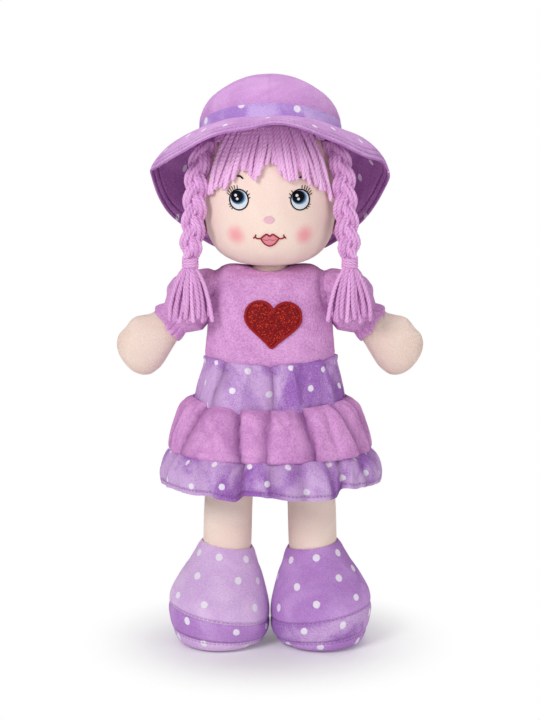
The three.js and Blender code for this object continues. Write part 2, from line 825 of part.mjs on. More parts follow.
// Plaits with their ties and tassels
function plaitMiddle(sign, drop) {
  const bow = valueAt(plaitDropShares, plaitBowShares, drop);
  return new THREE.Vector3(
    sign * THREE.MathUtils.lerp(plaitRootAcross, plaitEndAcross, bow),
    -THREE.MathUtils.lerp(plaitRootForward, plaitEndForward, bow),
    THREE.MathUtils.lerp(plaitRootHeight, plaitEndHeight, drop),
  );
}
function ovalRing(middle, halfWidth, halfDepth, sides, swell = () => 1) {
  const ring = [];
  for (let i = 0; i < sides; i += 1) {
    const angle = (fullTurn * i) / sides;
    const size = swell(angle);
    ring.push(
      middle
        .clone()
        .addScaledVector(across, halfWidth * size * Math.sin(angle))
        .addScaledVector(front, halfDepth * size * Math.cos(angle)),
    );
  }
  return ring;
}
function plaitSolid(sign) {
  const rings = [];
  for (let i = 0; i <= plaitRings; i += 1) {
    const drop = i / plaitRings;
    const lobe = Math.abs(Math.cos(Math.PI * plaitCrossings * drop));
    const size = THREE.MathUtils.lerp(plaitPinchShare, 1, lobe) * valueAt(plaitEndShares, plaitSizeShares, drop);
    rings.push(ovalRing(plaitMiddle(sign, drop), plaitHalfWidth * size, plaitHalfDepth * size, plaitSides));
  }
  const end = plaitMiddle(sign, 1);
  const neck = end.clone().addScaledVector(up, tieHeight / 2 + seamGap);
  const outer = rings.filter((ring) => ring[0].z > neck.z + leastStep);
  const narrow = [neck, end].map((point) => ovalRing(point, plaitEndRadius, plaitEndRadius, plaitSides));
  return skinOver([...outer, ...narrow], false);
}
function tasselSolid(sign) {
  const top = plaitMiddle(sign, 1);
  top.z -= seamGap;
  const rings = tasselLengthShares.map((share, i) => {
    const middle = top.clone().addScaledVector(up, -tasselLength * share);
    const flute = i === 0 ? 0 : tasselFluteShare;
    return ovalRing(
      middle,
      tasselHalfWidth * tasselWidthShares[i],
      tasselHalfDepth * tasselDepthShares[i],
      2 * tasselFlutes,
      (angle) => 1 + flute * Math.cos(tasselFlutes * angle),
    );
  });
  return skinOver(rings, false);
}
function tieRing(sign) {
  const middle = plaitMiddle(sign, 1);
  const inner = plaitEndRadius + seamGap;
  const profile = [
    [inner, tieHeight / 2],
    [inner + tieThickness, tieHeight / 2],
    [inner + tieThickness, -tieHeight / 2],
    [inner, -tieHeight / 2],
  ];
  const rings = profile.map(([radius, rise]) =>
    ovalRing(middle.clone().addScaledVector(up, rise), radius, radius, limbSides),
  );
  return skinOver(rings, true);
}
sidesOfDoll.forEach(({ name, sign }) => {
  const tie = tieRing(sign);
  place(`${name}_plait`, plaitSolid(sign), yarnPaint());
  place(`${name}_plait_tie`, tie, yarnPaint());
  place(`${name}_tassel`, tasselSolid(sign), yarnPaint());
});

// Arms: a gathered sleeve and a mitten hand round one filling, sewn on at a knot of thread
function channelSolid(pivot, axis) {
  const reach = shoulderBallRadius + overrun;
  const side = new THREE.Vector3().crossVectors(axis, front).normalize();
  const rings = [0, reach].map((along) => {
    const ring = [];
    for (let i = 0; i < knotSides; i += 1) {
      const angle = (fullTurn * i) / knotSides;
      ring.push(
        pivot
          .clone()
          .addScaledVector(axis, -along)
          .addScaledVector(side, knotChannelRadius * Math.sin(angle))
          .addScaledVector(front, knotChannelRadius * Math.cos(angle)),
      );
    }
    return ring;
  });
  return skinOver(rings, false);
}
sidesOfDoll.forEach(({ name, sign }) => {
  const { pivot, axis, upperSide } = armFrame(sign);
  const frame = { base: pivot, axis, across: upperSide, front, sides: limbSides };
  const sleeveForm = {
    ...frame,
    bottom: -shoulderBallRadius, top: sleeveLength,
    halfWidth: sleeveHalfWidth, halfDepth: sleeveHalfWidth,
    atShares: sleeveLengthShares, wideShares: sleeveWidthShares,
  };
  const handForm = {
    ...frame,
    bottom: sleeveLength, top: armLength,
    halfWidth: handHalfWidth, halfDepth: handHalfDepth,
    atShares: armLengthShares, wideShares: armWidthShares, deepShares: armDepthShares,
    swell: (angle, share) => {
      const beside = Math.max(Math.sin(angle), 0) ** 6;
      return thumbRise * beside * Math.exp(-(((share - thumbShare) / thumbReachShare) ** 2));
    },
  };
  const bodySide = (inset) => {
    const flank = sign * (bodyHalfWidth + seamGap + inset);
    const low = new THREE.Vector3(Math.min(flank, -sign * farSide), -farSide, bodyBottom);
    const high = new THREE.Vector3(Math.max(flank, -sign * farSide), farSide, bodyTop + overrun);
    const socket = ball(pivot, shoulderBallRadius + socketClearance - inset, socketSides);
    const body = cut(block(low, high), socket);
    return [body, turnedAbout(body, pivot, new THREE.Vector3(0, 1, 0), -sign * armLowered)];
  };
  const sleeveSolid = (grow, past = 0) => {
    const form = {
      ...sleeveForm,
      bottom: sleeveForm.bottom - grow,
      halfWidth: sleeveHalfWidth + grow,
      halfDepth: sleeveHalfWidth + grow,
    };
    const rings = ringsOf(form, form.bottom, form.top, 0);
    const end = rings[rings.length - 1];
    if (past > 0) rings.push(end.map((point) => point.clone().addScaledVector(axis, past)));
    return mainPiece(cut(skinOver(rings, false), ...bodySide(-grow)));
  };
  const channel = channelSolid(pivot, axis);
  const pocket = ball(pivot, knotRadius + socketClearance, knotSides);
  const sleeveHollow = sleeveSolid(-fabricThickness, overrun);
  place(`${name}_sleeve`, mainPiece(cut(sleeveSolid(0), sleeveHollow, channel)), plushPaint());
  const handStart = sleeveLength + seamGap;
  place(`${name}_arm_skin`, shellOf(handForm, handStart, armLength, skinThickness, 'high'), skinPaint());
  const handFill = solidOf(handForm, sleeveLength - overrun / 2, armLength - headInset, -headInset);
  const armFill = join(sleeveSolid(-fillingInset), handFill);
  place(`${name}_arm_filling`, mainPiece(cut(armFill, pocket, channel)), fillPaint());
  place(`${name}_shoulder_knot`, ball(pivot, knotRadius, knotSides), fillPaint());

  const sleeveEnd = sleeveHalfWidth * sleeveWidthShares[sleeveWidthShares.length - 1];
  const cuffStart = sleeveLength - fabricThickness;
  const cuffRing = (along, radius, fold) => {
    const ring = [];
    for (let i = 0; i < cuffFolds * cuffSamples; i += 1) {
      const angle = (fullTurn * i) / (cuffFolds * cuffSamples);
      const size = radius + fold * Math.cos(cuffFolds * angle);
      ring.push(
        pivot
          .clone()
          .addScaledVector(axis, along)
          .addScaledVector(upperSide, size * Math.sin(angle))
          .addScaledVector(front, size * Math.cos(angle)),
      );
    }
    return ring;
  };
  const cuffInner = sleeveEnd + fabricThickness;
  const cuffOuter = cuffInner + fabricThickness;
  place(
    `${name}_cuff`,
    skinOver(
      [
        cuffRing(cuffStart, cuffOuter, 0),
        cuffRing(cuffStart + cuffLength, cuffOuter + cuffRuffle, cuffRuffle * cuffWaveShare),
        cuffRing(cuffStart + cuffLength, cuffInner + cuffRuffle, cuffRuffle * cuffWaveShare),
        cuffRing(cuffStart, cuffInner, 0),
      ],
      true,
    ),
    plushPaint(),
  );
});

// Legs with shoes, each sewn from a leg, an upper, a band and a sole round one filling
sidesOfDoll.forEach(({ name, sign }) => {
  const legForm = {
    base: origin, axis: up, across, front,
    bottom: ankleHeight, top: hipHeight + legRadius,
    halfWidth: legRadius, halfDepth: legRadius,
    atShares: legHeightShares, wideShares: legWidthShares,
    sides: limbSides,
    shift: (share) => {
      const straight = Math.min(share / legPivotShare, 1);
      return new THREE.Vector3(sign * THREE.MathUtils.lerp(ankleAcross, hipAcross, straight), 0, 0);
    },
  };
  const shoeForm = {
    base: origin, axis: up, across, front,
    bottom: 0, top: ankleHeight,
    halfWidth: shoeHalfWidth, halfDepth: shoeHalfDepth,
    atShares: shoeHeightShares, wideShares: shoeWidthShares, deepShares: shoeDepthShares,
    sides: roundSides,
    shift: (share) => {
      const lean = valueAt(shoeHeightShares, shoeLeanShares, share);
      return new THREE.Vector3(
        sign * THREE.MathUtils.lerp(ankleAcross, shoeAcross, lean),
        -shoeForward * lean,
        0,
      );
    },
  };
  place(`${name}_leg_skin`, shellOf(legForm, ankleHeight + seamGap, legForm.top, skinThickness, 'high'), skinPaint());
  place(`${name}_shoe_upper`, shellOf(shoeForm, bandTop + seamGap, ankleHeight, fabricThickness), dottedPaint());
  place(`${name}_shoe_band`, shellOf(shoeForm, soleHeight + seamGap, bandTop, fabricThickness), dottedPaint());
  place(`${name}_shoe_sole`, shellOf(shoeForm, 0, soleHeight, fabricThickness, 'low'), dottedPaint());
  const shoeFill = solidOf(shoeForm, fillingInset, ankleHeight, -fillingInset);
  const legFill = solidOf(legForm, ankleHeight - overrun / 2, legForm.top - fillingInset, -fillingInset);
  place(`${name}_leg_filling`, join(shoeFill, legFill), fillPaint());
});

// The origin is the middle of the footprint, on the floor
const extent = new THREE.Box3().setFromObject(doll, true);
const middle = extent.getCenter(new THREE.Vector3());
doll.position.set(-middle.x, -middle.y, -extent.min.z);

export default doll;
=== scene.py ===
"""Rag doll with a bucket hat, yarn plaits, a heart bodice and a gathered skirt, dressed over its frame."""

import json
import math
import random

import bmesh
import bpy
from bpy.props import FloatProperty, FloatVectorProperty, IntProperty, PointerProperty
from mathutils import Matrix, Vector, noise
from mathutils.bvhtree import BVHTree


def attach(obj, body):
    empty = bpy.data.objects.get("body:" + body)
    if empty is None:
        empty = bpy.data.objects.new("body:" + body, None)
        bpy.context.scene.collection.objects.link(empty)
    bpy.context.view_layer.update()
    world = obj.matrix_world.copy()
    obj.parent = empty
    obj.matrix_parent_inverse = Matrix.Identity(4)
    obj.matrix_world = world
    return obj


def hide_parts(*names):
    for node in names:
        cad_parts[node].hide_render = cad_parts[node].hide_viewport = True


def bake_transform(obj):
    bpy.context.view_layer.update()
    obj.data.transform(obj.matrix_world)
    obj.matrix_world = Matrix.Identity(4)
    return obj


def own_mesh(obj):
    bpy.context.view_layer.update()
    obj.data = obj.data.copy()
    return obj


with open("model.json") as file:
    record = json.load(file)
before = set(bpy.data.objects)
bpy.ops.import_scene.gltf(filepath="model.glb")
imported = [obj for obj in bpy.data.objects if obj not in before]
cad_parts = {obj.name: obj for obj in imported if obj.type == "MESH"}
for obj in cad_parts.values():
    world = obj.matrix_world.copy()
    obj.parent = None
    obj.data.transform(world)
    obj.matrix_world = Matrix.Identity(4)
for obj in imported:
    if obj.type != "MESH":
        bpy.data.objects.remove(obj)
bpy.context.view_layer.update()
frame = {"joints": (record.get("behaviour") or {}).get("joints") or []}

bl_info = {
    "name": "Rag doll",
    "version": (1, 0, 0),
    "blender": (4, 5, 0),
    "location": "3D View > Sidebar > Doll",
    "description": "Makes the cloth, yarn and stitching of a rag doll over its frame",
    "category": "Object",
}

mm = 0.001
full_turn = 2 * math.pi
joint_at = {joint["name"]: Vector(joint["pos_m"]) for joint in frame["joints"]}
neck_at = joint_at["head_turn"]
sides_of_doll = {"left": 1, "right": -1}


def at(x, y, z):
    """A point in metres from millimetres about the doll's own middle line."""
    return Vector((x * mm, neck_at.y + y * mm, z * mm))


def srgb(*values):
    """A screen colour of 0 to 255 as linear light."""
    shares = [value / 255 for value in values]
    return tuple(v / 12.92 if v <= 0.04045 else ((v + 0.055) / 1.055) ** 2.4 for v in shares)


# Sizes and colours

def length(name, description, default, **limits):
    return FloatProperty(name=name, description=description, default=default, unit="LENGTH", subtype="DISTANCE", **limits)


def tint(name, description, default):
    return FloatVectorProperty(
        name=name, description=description, default=srgb(*default), size=3, subtype="COLOR", min=0, max=1
    )


class DollSizes(bpy.types.PropertyGroup):
    cloth: length("Cloth", "Thickness of the plush and velour", 1.2 * mm)
    dot: length("Dot", "Radius of a printed dot", 2.5 * mm)
    skirt_dot: length("Skirt dot", "Radius of a printed dot on the skirt", 2.1 * mm)
    dot_across: length("Dot spacing", "Distance between dots in a row", 27 * mm)
    dot_row: length("Dot rows", "Distance between rows of dots", 15 * mm)
    stitch: length("Stitch", "Length of one seam stitch", 2.6 * mm)
    fringe_yarn: length("Fringe yarn", "Radius of the yarn in the fringe", 1.45 * mm)
    plait_yarn: length("Plait yarn", "Radius of the yarn in the plaits", 1.65 * mm)
    tassel_yarn: length("Tassel yarn", "Radius of the yarn in the tassels", 1.5 * mm)
    plies: IntProperty(name="Plies", description="Threads twisted into one yarn", default=3, min=2, max=4)
    ply_pitch: length("Ply pitch", "Length of one full twist of the yarn", 9 * mm)
    fringe_strands: IntProperty(name="Fringe strands", description="Yarns in the front row of the fringe", default=34)
    tassel_strands: IntProperty(name="Tassel strands", description="Yarns in one tassel", default=30)
    camera_distance: length("Camera distance", "From the camera to the middle of the doll", 1.4)
    camera_height: FloatProperty(
        name="Camera elevation",
        description="How far the camera looks down",
        default=math.radians(9),
        subtype="ANGLE",
        unit="ROTATION",
    )
    camera_view: FloatProperty(
        name="Camera view",
        description="Upright angle of view",
        default=math.radians(20.5),
        subtype="ANGLE",
        unit="ROTATION",
    )


class DollColours(bpy.types.PropertyGroup):
    plush: tint("Plush", "Bodice, sleeves and cuffs", (236, 180, 232))
    plush_deep: tint("Plush shade", "Plush where the nap lies away", (188, 124, 184))
    tier: tint("Plain tier", "Plain plush tier of the skirt", (236, 176, 231))
    tier_deep: tint("Plain tier shade", "Plain tier where the nap lies away", (192, 126, 190))
    hat: tint("Hat", "Crown of the hat", (222, 172, 226))
    hat_deep: tint("Hat shade", "Crown where the nap lies away", (201, 146, 208))
    violet: tint("Velour", "Dotted velour", (218, 182, 230))
    violet_deep: tint("Velour shade", "Dotted velour where the nap lies away", (158, 102, 188))
    dots: tint("Dots", "Printed dots", (244, 236, 250))
    skin: tint("Skin", "Face, hands and legs", (248, 228, 216))
    skin_deep: tint("Skin shade", "Face, hands and legs in the nap's shade", (236, 208, 196))
    # Painted light: the legs are a lighter copy of the skin, so that they look lit in the shade of the skirt.
    leg: tint("Legs", "Legs", (255, 238, 225))
    leg_deep: tint("Leg shade", "Legs in the nap's shade", (250, 222, 208))
    blush: tint("Blush", "Cheeks", (240, 140, 155))
    band: tint("Hat band", "Band of the hat", (212, 184, 236))
    band_deep: tint("Hat band shade", "Band of the hat where the nap lies away", (176, 132, 210))
    brim: tint("Brim", "Brim and its lining", (232, 188, 235))
    brim_deep: tint("Brim shade", "Brim where the nap lies away", (190, 132, 200))
    # Painted shade: the lining is the brim's velour in deeper tones, for the underside that lies in the brim's shadow.
    lining: tint("Brim lining", "Underside of the brim", (206, 148, 210))
    lining_deep: tint("Brim lining shade", "Lining where the nap lies away", (158, 98, 166))
    shoe: tint("Light shoe cloth", "Panels of the shoes whose nap lies up", (240, 212, 246))
    shoe_light_deep: tint("Light shoe cloth shade", "Light panels in the nap's shade", (210, 168, 226))
    shoe_away: tint("Deep shoe cloth", "Panels of the shoes whose nap lies down", (214, 170, 230))
    shoe_deep: tint("Deep shoe cloth shade", "Deep panels in the nap's shade", (178, 124, 202))
    # Painted shade: the colour that the cloth darkens towards in the valleys of the skirt's folds and down the sides of
    # the bodice.
    fold: tint("Fold", "Cloth deep in the valleys of the skirt's folds", (104, 50, 112))
    yarn: tint("Yarn", "Plaits, tassels and hair", (247, 194, 242))
    yarn_deep: tint("Yarn shade", "Between the plies of the yarn", (206, 144, 202))
    # Painted light: a lighter tone of the yarn, so that the fringe looks lit in the shadow of the brim.
    fringe: tint("Fringe", "Yarn of the fringe", (255, 212, 250))
    fringe_deep: tint("Fringe shade", "Between the plies of the fringe", (232, 172, 222))
    heart: tint("Heart", "Glitter cloth of the heart", (150, 12, 18))
    heart_bright: tint("Heart glints", "Brightest flakes in the heart", (222, 74, 52))
    heart_edge: tint("Heart edge", "Satin stitch round the heart", (162, 22, 30))
    outline: tint("Outline thread", "Outline of the eyes, lashes and brows", (8, 6, 11))
    iris: tint("Iris thread", "Pale part of the iris", (136, 180, 208))
    iris_deep: tint("Iris shade thread", "Dark part of the iris", (38, 82, 128))
    white: tint("White thread", "White of the eyes", (236, 240, 248))
    nose: tint("Nose thread", "Nose", (252, 200, 216))
    lips: tint("Lip thread", "Lips", (240, 150, 164))
    lip_line: tint("Lip line thread", "Outline of the lips", (160, 26, 44))


def sizes():
    return bpy.context.scene.doll_sizes


def colours():
    return bpy.context.scene.doll_colours


# Shaders

class Wiring:
    """Short calls that add and link shader nodes in one tree."""

    def __init__(self, tree):
        self.tree = tree

    def add(self, kind, values=None, **settings):
        node = self.tree.nodes.new(kind)
        for key, value in settings.items():
            setattr(node, key, value)
        for socket, value in (values or {}).items():
            if isinstance(value, bpy.types.NodeSocket):
                self.tree.links.new(value, node.inputs[socket])
            else:
                node.inputs[socket].default_value = value
        return node

    def math(self, operation, first, second=0.0, third=0.0):
        node = self.add("ShaderNodeMath", {0: first, 1: second, 2: third}, operation=operation)
        return node.outputs[0]

    def blend(self, share, first, second, how="MIX"):
        node = self.add("ShaderNodeMix", {0: share, 6: first, 7: second}, data_type="RGBA", blend_type=how)
        return node.outputs[2]

    def between(self, value, low, high, to_low=0.0, to_high=1.0):
        values = {0: value, 1: low, 2: high, 3: to_low, 4: to_high}
        return self.add("ShaderNodeMapRange", values, interpolation_type="SMOOTHSTEP").outputs[0]

    def noise(self, vector, scale, detail=2.0, distortion=0.0):
        values = {"Vector": vector, "Scale": scale, "Detail": detail, "Distortion": distortion}
        return self.add("ShaderNodeTexNoise", values).outputs[0]


def effect(name, inputs, outputs):
    """A shared node group with its sockets, or None where it is already made."""
    if name in bpy.data.node_groups:
        return None
    tree = bpy.data.node_groups.new(name, "ShaderNodeTree")
    for label, kind in inputs:
        tree.interface.new_socket(label, in_out="INPUT", socket_type=kind)
    for label, kind in outputs:
        tree.interface.new_socket(label, in_out="OUTPUT", socket_type=kind)
    return tree


def nap_effect():
    """Soft pile: broad patches where the nap lies two ways, small mottles and fine fibres."""
    inputs = [
        ("Vector", "NodeSocketVector"),
        ("Light", "NodeSocketColor"),
        ("Deep", "NodeSocketColor"),
        ("Patches", "NodeSocketFloat"),
        ("Contrast", "NodeSocketFloat"),
        ("Fibre", "NodeSocketFloat"),
    ]
    tree = effect("Nap", inputs, [("Color", "NodeSocketColor"), ("Height", "NodeSocketFloat")])
    if tree:
        wire = Wiring(tree)
        given = wire.add("NodeGroupInput").outputs
        patches = wire.noise(given["Vector"], given["Patches"], 2.0, 1.4)
        patches = wire.between(patches, 0.36, 0.64)
        mottles = wire.noise(given["Vector"], wire.math("MULTIPLY", given["Patches"], 6.0), 3.0, 0.6)
        fibres = wire.noise(given["Vector"], given["Fibre"], 2.0)
        share = wire.math("MULTIPLY_ADD", mottles, 0.3, wire.math("MULTIPLY", patches, 0.7))
        share = wire.math("MULTIPLY_ADD", wire.math("SUBTRACT", share, 0.5), given["Contrast"], 0.5)
        share = wire.math("MULTIPLY_ADD", wire.math("SUBTRACT", fibres, 0.5), 1.5, share)
        share = wire.add("ShaderNodeClamp", {0: share}).outputs[0]
        colour = wire.blend(share, given["Deep"], given["Light"])
        height = wire.math("MULTIPLY_ADD", mottles, 0.5, fibres)
        wire.add("NodeGroupOutput", {"Color": colour, "Height": height})
    return bpy.data.node_groups["Nap"]


def dots_effect():
    """Rows of printed dots, each row half a space along from the last, a little off their places."""
    inputs = [
        ("UV", "NodeSocketVector"),
        ("Stretch", "NodeSocketFloat"),
        ("Across", "NodeSocketFloat"),
        ("Row", "NodeSocketFloat"),
        ("Radius", "NodeSocketFloat"),
    ]
    tree = effect("Dots", inputs, [("Mask", "NodeSocketFloat")])
    if tree:
        wire = Wiring(tree)
        given = wire.add("NodeGroupInput").outputs
        place = wire.add("ShaderNodeSeparateXYZ", {0: given["UV"]}).outputs
        row = wire.math("DIVIDE", place["Y"], given["Row"])
        row_number = wire.math("FLOOR", row)
        shift = wire.math("MULTIPLY", wire.math("FLOORED_MODULO", row_number, 2.0), 0.5)
        column = wire.math("ADD", wire.math("DIVIDE", place["X"], given["Across"]), shift)
        column_number = wire.math("FLOOR", column)
        cell = wire.add("ShaderNodeCombineXYZ", {0: column_number, 1: row_number}).outputs[0]
        chance = wire.add("ShaderNodeTexWhiteNoise", {"Vector": cell}, noise_dimensions="3D").outputs["Color"]
        off = wire.add("ShaderNodeSeparateXYZ", {0: chance}).outputs
        along = wire.math("SUBTRACT", wire.math("FRACT", column), 0.5)
        along = wire.math("SUBTRACT", along, wire.math("MULTIPLY_ADD", off["X"], 0.3, -0.15))
        upward = wire.math("SUBTRACT", wire.math("FRACT", row), 0.5)
        upward = wire.math("SUBTRACT", upward, wire.math("MULTIPLY_ADD", off["Y"], 0.3, -0.15))
        along = wire.math("MULTIPLY", along, wire.math("MULTIPLY", given["Across"], given["Stretch"]))
        upward = wire.math("MULTIPLY", upward, given["Row"])
        away = wire.math("SQRT", wire.math("MULTIPLY_ADD", along, along, wire.math("MULTIPLY", upward, upward)))
        fuzz = wire.noise(given["UV"], 1500.0)
        away = wire.math("MULTIPLY_ADD", wire.math("SUBTRACT", fuzz, 0.5), 0.8 * mm, away)
        share = wire.math("DIVIDE", away, given["Radius"])
        wire.add("NodeGroupOutput", {"Mask": wire.between(share, 1.12, 0.88)})
    return bpy.data.node_groups["Dots"]


def seam_effect():
    """A sewn seam: a pulled-in groove with a dashed thread along it."""
    inputs = [("Away", "NodeSocketFloat"), ("Along", "NodeSocketFloat"), ("Stitch", "NodeSocketFloat")]
    tree = effect("Seam", inputs, [("Thread", "NodeSocketFloat"), ("Height", "NodeSocketFloat")])
    if tree:
        wire = Wiring(tree)
        given = wire.add("NodeGroupInput").outputs
        away = wire.math("ABSOLUTE", given["Away"])
        groove = wire.between(away, 0.0, 1.6 * mm, -1.0, 0.0)
        line = wire.between(away, 0.55 * mm, 0.25 * mm)
        dash = wire.math("FRACT", wire.math("DIVIDE", given["Along"], given["Stitch"]))
        dash = wire.between(wire.math("ABSOLUTE", wire.math("SUBTRACT", dash, 0.5)), 0.4, 0.3)
        wire.add("NodeGroupOutput", {"Thread": wire.math("MULTIPLY", line, dash), "Height": groove})
    return bpy.data.node_groups["Seam"]


def ply_effect():
    """Twisted yarn: a shade and a height that wind round the strand, and a tone for each strand."""
    inputs = [("UV", "NodeSocketVector"), ("Plies", "NodeSocketFloat"), ("Pitch", "NodeSocketFloat")]
    outputs = [("Shade", "NodeSocketFloat"), ("Tone", "NodeSocketFloat")]
    tree = effect("Ply", inputs, outputs)
    if tree:
        wire = Wiring(tree)
        given = wire.add("NodeGroupInput").outputs
        place = wire.add("ShaderNodeSeparateXYZ", {0: given["UV"]}).outputs
        turns = wire.math("SUBTRACT", place["X"], wire.math("DIVIDE", place["Y"], given["Pitch"]))
        winding = wire.math("MULTIPLY", turns, given["Plies"])
        wave = wire.math("COSINE", wire.math("MULTIPLY", winding, full_turn))
        shade = wire.math("MULTIPLY_ADD", wave, 0.5, 0.5)
        strand = wire.math("FLOOR", place["X"])
        tone = wire.add("ShaderNodeTexWhiteNoise", {"W": strand}, noise_dimensions="1D").outputs["Value"]
        wire.add("NodeGroupOutput", {"Shade": shade, "Tone": tone})
    return bpy.data.node_groups["Ply"]


def material(name):
    """A new material with its wiring and its surface shader."""
    made = bpy.data.materials.new(name)
    made.use_nodes = True
    wire = Wiring(made.node_tree)
    surface = made.node_tree.nodes["Principled BSDF"]
    return made, wire, surface


def use_bump(wire, surface, height, depth, strength=1.0):
    bump = wire.add("ShaderNodeBump", {"Height": height, "Distance": depth, "Strength": strength})
    wire.tree.links.new(bump.outputs[0], surface.inputs["Normal"])


def soft_surface(surface, sheen, sheen_colour, roughness=0.92):
    surface.inputs["Roughness"].default_value = roughness
    surface.inputs["Specular IOR Level"].default_value = 0.12
    surface.inputs["Sheen Weight"].default_value = sheen
    surface.inputs["Sheen Roughness"].default_value = 0.45
    surface.inputs["Sheen Tint"].default_value = (*sheen_colour, 1)


def solid(colour):
    return (*colour, 1)


def cloth(name, light, deep, patches=30.0, contrast=1.0, fibre=1300.0, dotted=False, seams=(), centre_seam=False, prints="Unrolled", spread=1.0,
    fold_shade=0.0,
):
    """Plush or velour. Seams are heights on the piece's own UV map, in metres, and the last argument is how much
    painted shade darkens the cloth in the valleys of its folds, with a darker painted crease at their bottoms."""
    if name in bpy.data.materials:
        return bpy.data.materials[name]
    made, wire, surface = material(name)
    coordinates = wire.add("ShaderNodeTexCoord").outputs
    values = {
        "Vector": coordinates["Object"],
        "Light": solid(light),
        "Deep": solid(deep),
        "Patches": patches,
        "Contrast": contrast,
        "Fibre": fibre,
    }
    nap = wire.add("ShaderNodeGroup", node_tree=nap_effect())
    fill(wire, nap, values)
    colour = nap.outputs["Color"]
    height = nap.outputs["Height"]
    unrolled = wire.add("ShaderNodeUVMap", uv_map="Unrolled").outputs[0]
    place = wire.add("ShaderNodeSeparateXYZ", {0: unrolled}).outputs
    if dotted:
        stretch = 1.0
        if prints == "Unrolled":
            stretch = wire.add("ShaderNodeAttribute", attribute_name="stretch").outputs["Fac"]
        dots = wire.add("ShaderNodeGroup", node_tree=dots_effect())
        fill(
            wire,
            dots,
            {
                "UV": wire.add("ShaderNodeUVMap", uv_map=prints).outputs[0],
                "Stretch": stretch,
                "Across": sizes().dot_across * spread,
                "Row": sizes().dot_row * spread,
                "Radius": sizes().skirt_dot if fold_shade else sizes().dot,
            },
        )
        colour = wire.blend(dots.outputs["Mask"], colour, solid(colours().dots))
    # Painted shade: the cloth darkens towards the fold colour in the valleys that the fold attribute marks, and further
    # in a painted crease at the bottom of each valley.
    if fold_shade:
        puffs = wire.add("ShaderNodeAttribute", attribute_name="fold").outputs["Fac"]
        valley = wire.math("SUBTRACT", 1.0, puffs)
        crease_shade = wire.math("MULTIPLY", wire.math("POWER", valley, 5.0), 0.5)
        valley = wire.math("MULTIPLY_ADD", valley, 0.5, crease_shade)
        colour = wire.blend(wire.math("MULTIPLY", valley, fold_shade), colour, solid(colours().fold))
    lines = [(wire.math("SUBTRACT", place["Y"], line), place["X"]) for line in seams]
    if centre_seam:
        spot = wire.add("ShaderNodeSeparateXYZ", {0: coordinates["Object"]}).outputs
        lines.append((spot["X"], wire.math("ADD", spot["Y"], spot["Z"])))
    for away, along in lines:
        seam = wire.add("ShaderNodeGroup", node_tree=seam_effect())
        fill(wire, seam, {"Away": away, "Along": along, "Stitch": sizes().stitch})
        dark = wire.blend(0.55, solid(deep), (0.12, 0.03, 0.16, 1))
        colour = wire.blend(wire.math("MULTIPLY", seam.outputs["Thread"], 0.15 if centre_seam else 0.6), colour, dark)
        height = wire.math("MULTIPLY_ADD", seam.outputs["Height"], 0.4 if centre_seam else 1.2, height)
    wire.tree.links.new(colour, surface.inputs["Base Color"])
    soft_surface(surface, 0.12, light)
    use_bump(wire, surface, height, 0.9 * mm, 0.9)
    return made


def fill(wire, node, values):
    for socket, value in values.items():
        if isinstance(value, bpy.types.NodeSocket):
            wire.tree.links.new(value, node.inputs[socket])
        else:
            node.inputs[socket].default_value = value


def plush():
    return cloth("short plush", colours().plush, colours().plush_deep, 40.0, 0.34, 800.0)


# Plush with painted shade down the sides of the bodice, where the fold attribute marks them.
def bodice_plush():
    return cloth("bodice plush", colours().plush, colours().plush_deep, 40.0, 0.34, 800.0, fold_shade=0.42)


def tier_plush():
    return cloth("tier plush", colours().tier, colours().tier_deep, 38.0, 0.5, 800.0, fold_shade=0.95)


def hat_plush():
    return cloth("hat plush", colours().hat, colours().hat_deep, 26.0, 0.8, 1000.0, centre_seam=True)


def velour(name="dotted velour", seams=(), prints="Unrolled", tones=None, spread=1.0, contrast=1.25, fold_shade=0.0):
    light, deep = tones or (colours().violet, colours().violet_deep)
    return cloth(
        name, light, deep, 24.0, contrast, 1100.0, True, seams, prints=prints, spread=spread, fold_shade=fold_shade
    )


def skin_velour():
    return cloth("skin velour", colours().skin, colours().skin_deep, 22.0, 0.5, 1500.0)


def face_velour(cheeks):
    """Skin velour with airbrushed cheeks about the given points."""
    made, wire, surface = material("face velour")
    coordinates = wire.add("ShaderNodeTexCoord").outputs
    nap = wire.add("ShaderNodeGroup", node_tree=nap_effect())
    values = {
        "Vector": coordinates["Object"],
        "Light": solid(colours().skin),
        "Deep": solid(colours().skin_deep),
        "Patches": 22.0,
        "Contrast": 0.4,
        "Fibre": 1700.0,
    }
    fill(wire, nap, values)
    colour = nap.outputs["Color"]
    for cheek in cheeks:
        reach = wire.add(
            "ShaderNodeVectorMath", {0: coordinates["Object"], 1: tuple(cheek)}, operation="DISTANCE"
        ).outputs["Value"]
        reach = wire.math("MULTIPLY_ADD", wire.noise(coordinates["Object"], 260.0), 1.5 * mm, reach)
        share = wire.between(reach, 10.5 * mm, 2.0 * mm, 0.0, 0.72)
        colour = wire.blend(share, colour, solid(colours().blush))
    wire.tree.links.new(colour, surface.inputs["Base Color"])
    soft_surface(surface, 0.08, colours().skin)
    use_bump(wire, surface, nap.outputs["Height"], 0.25 * mm, 0.5)
    return made


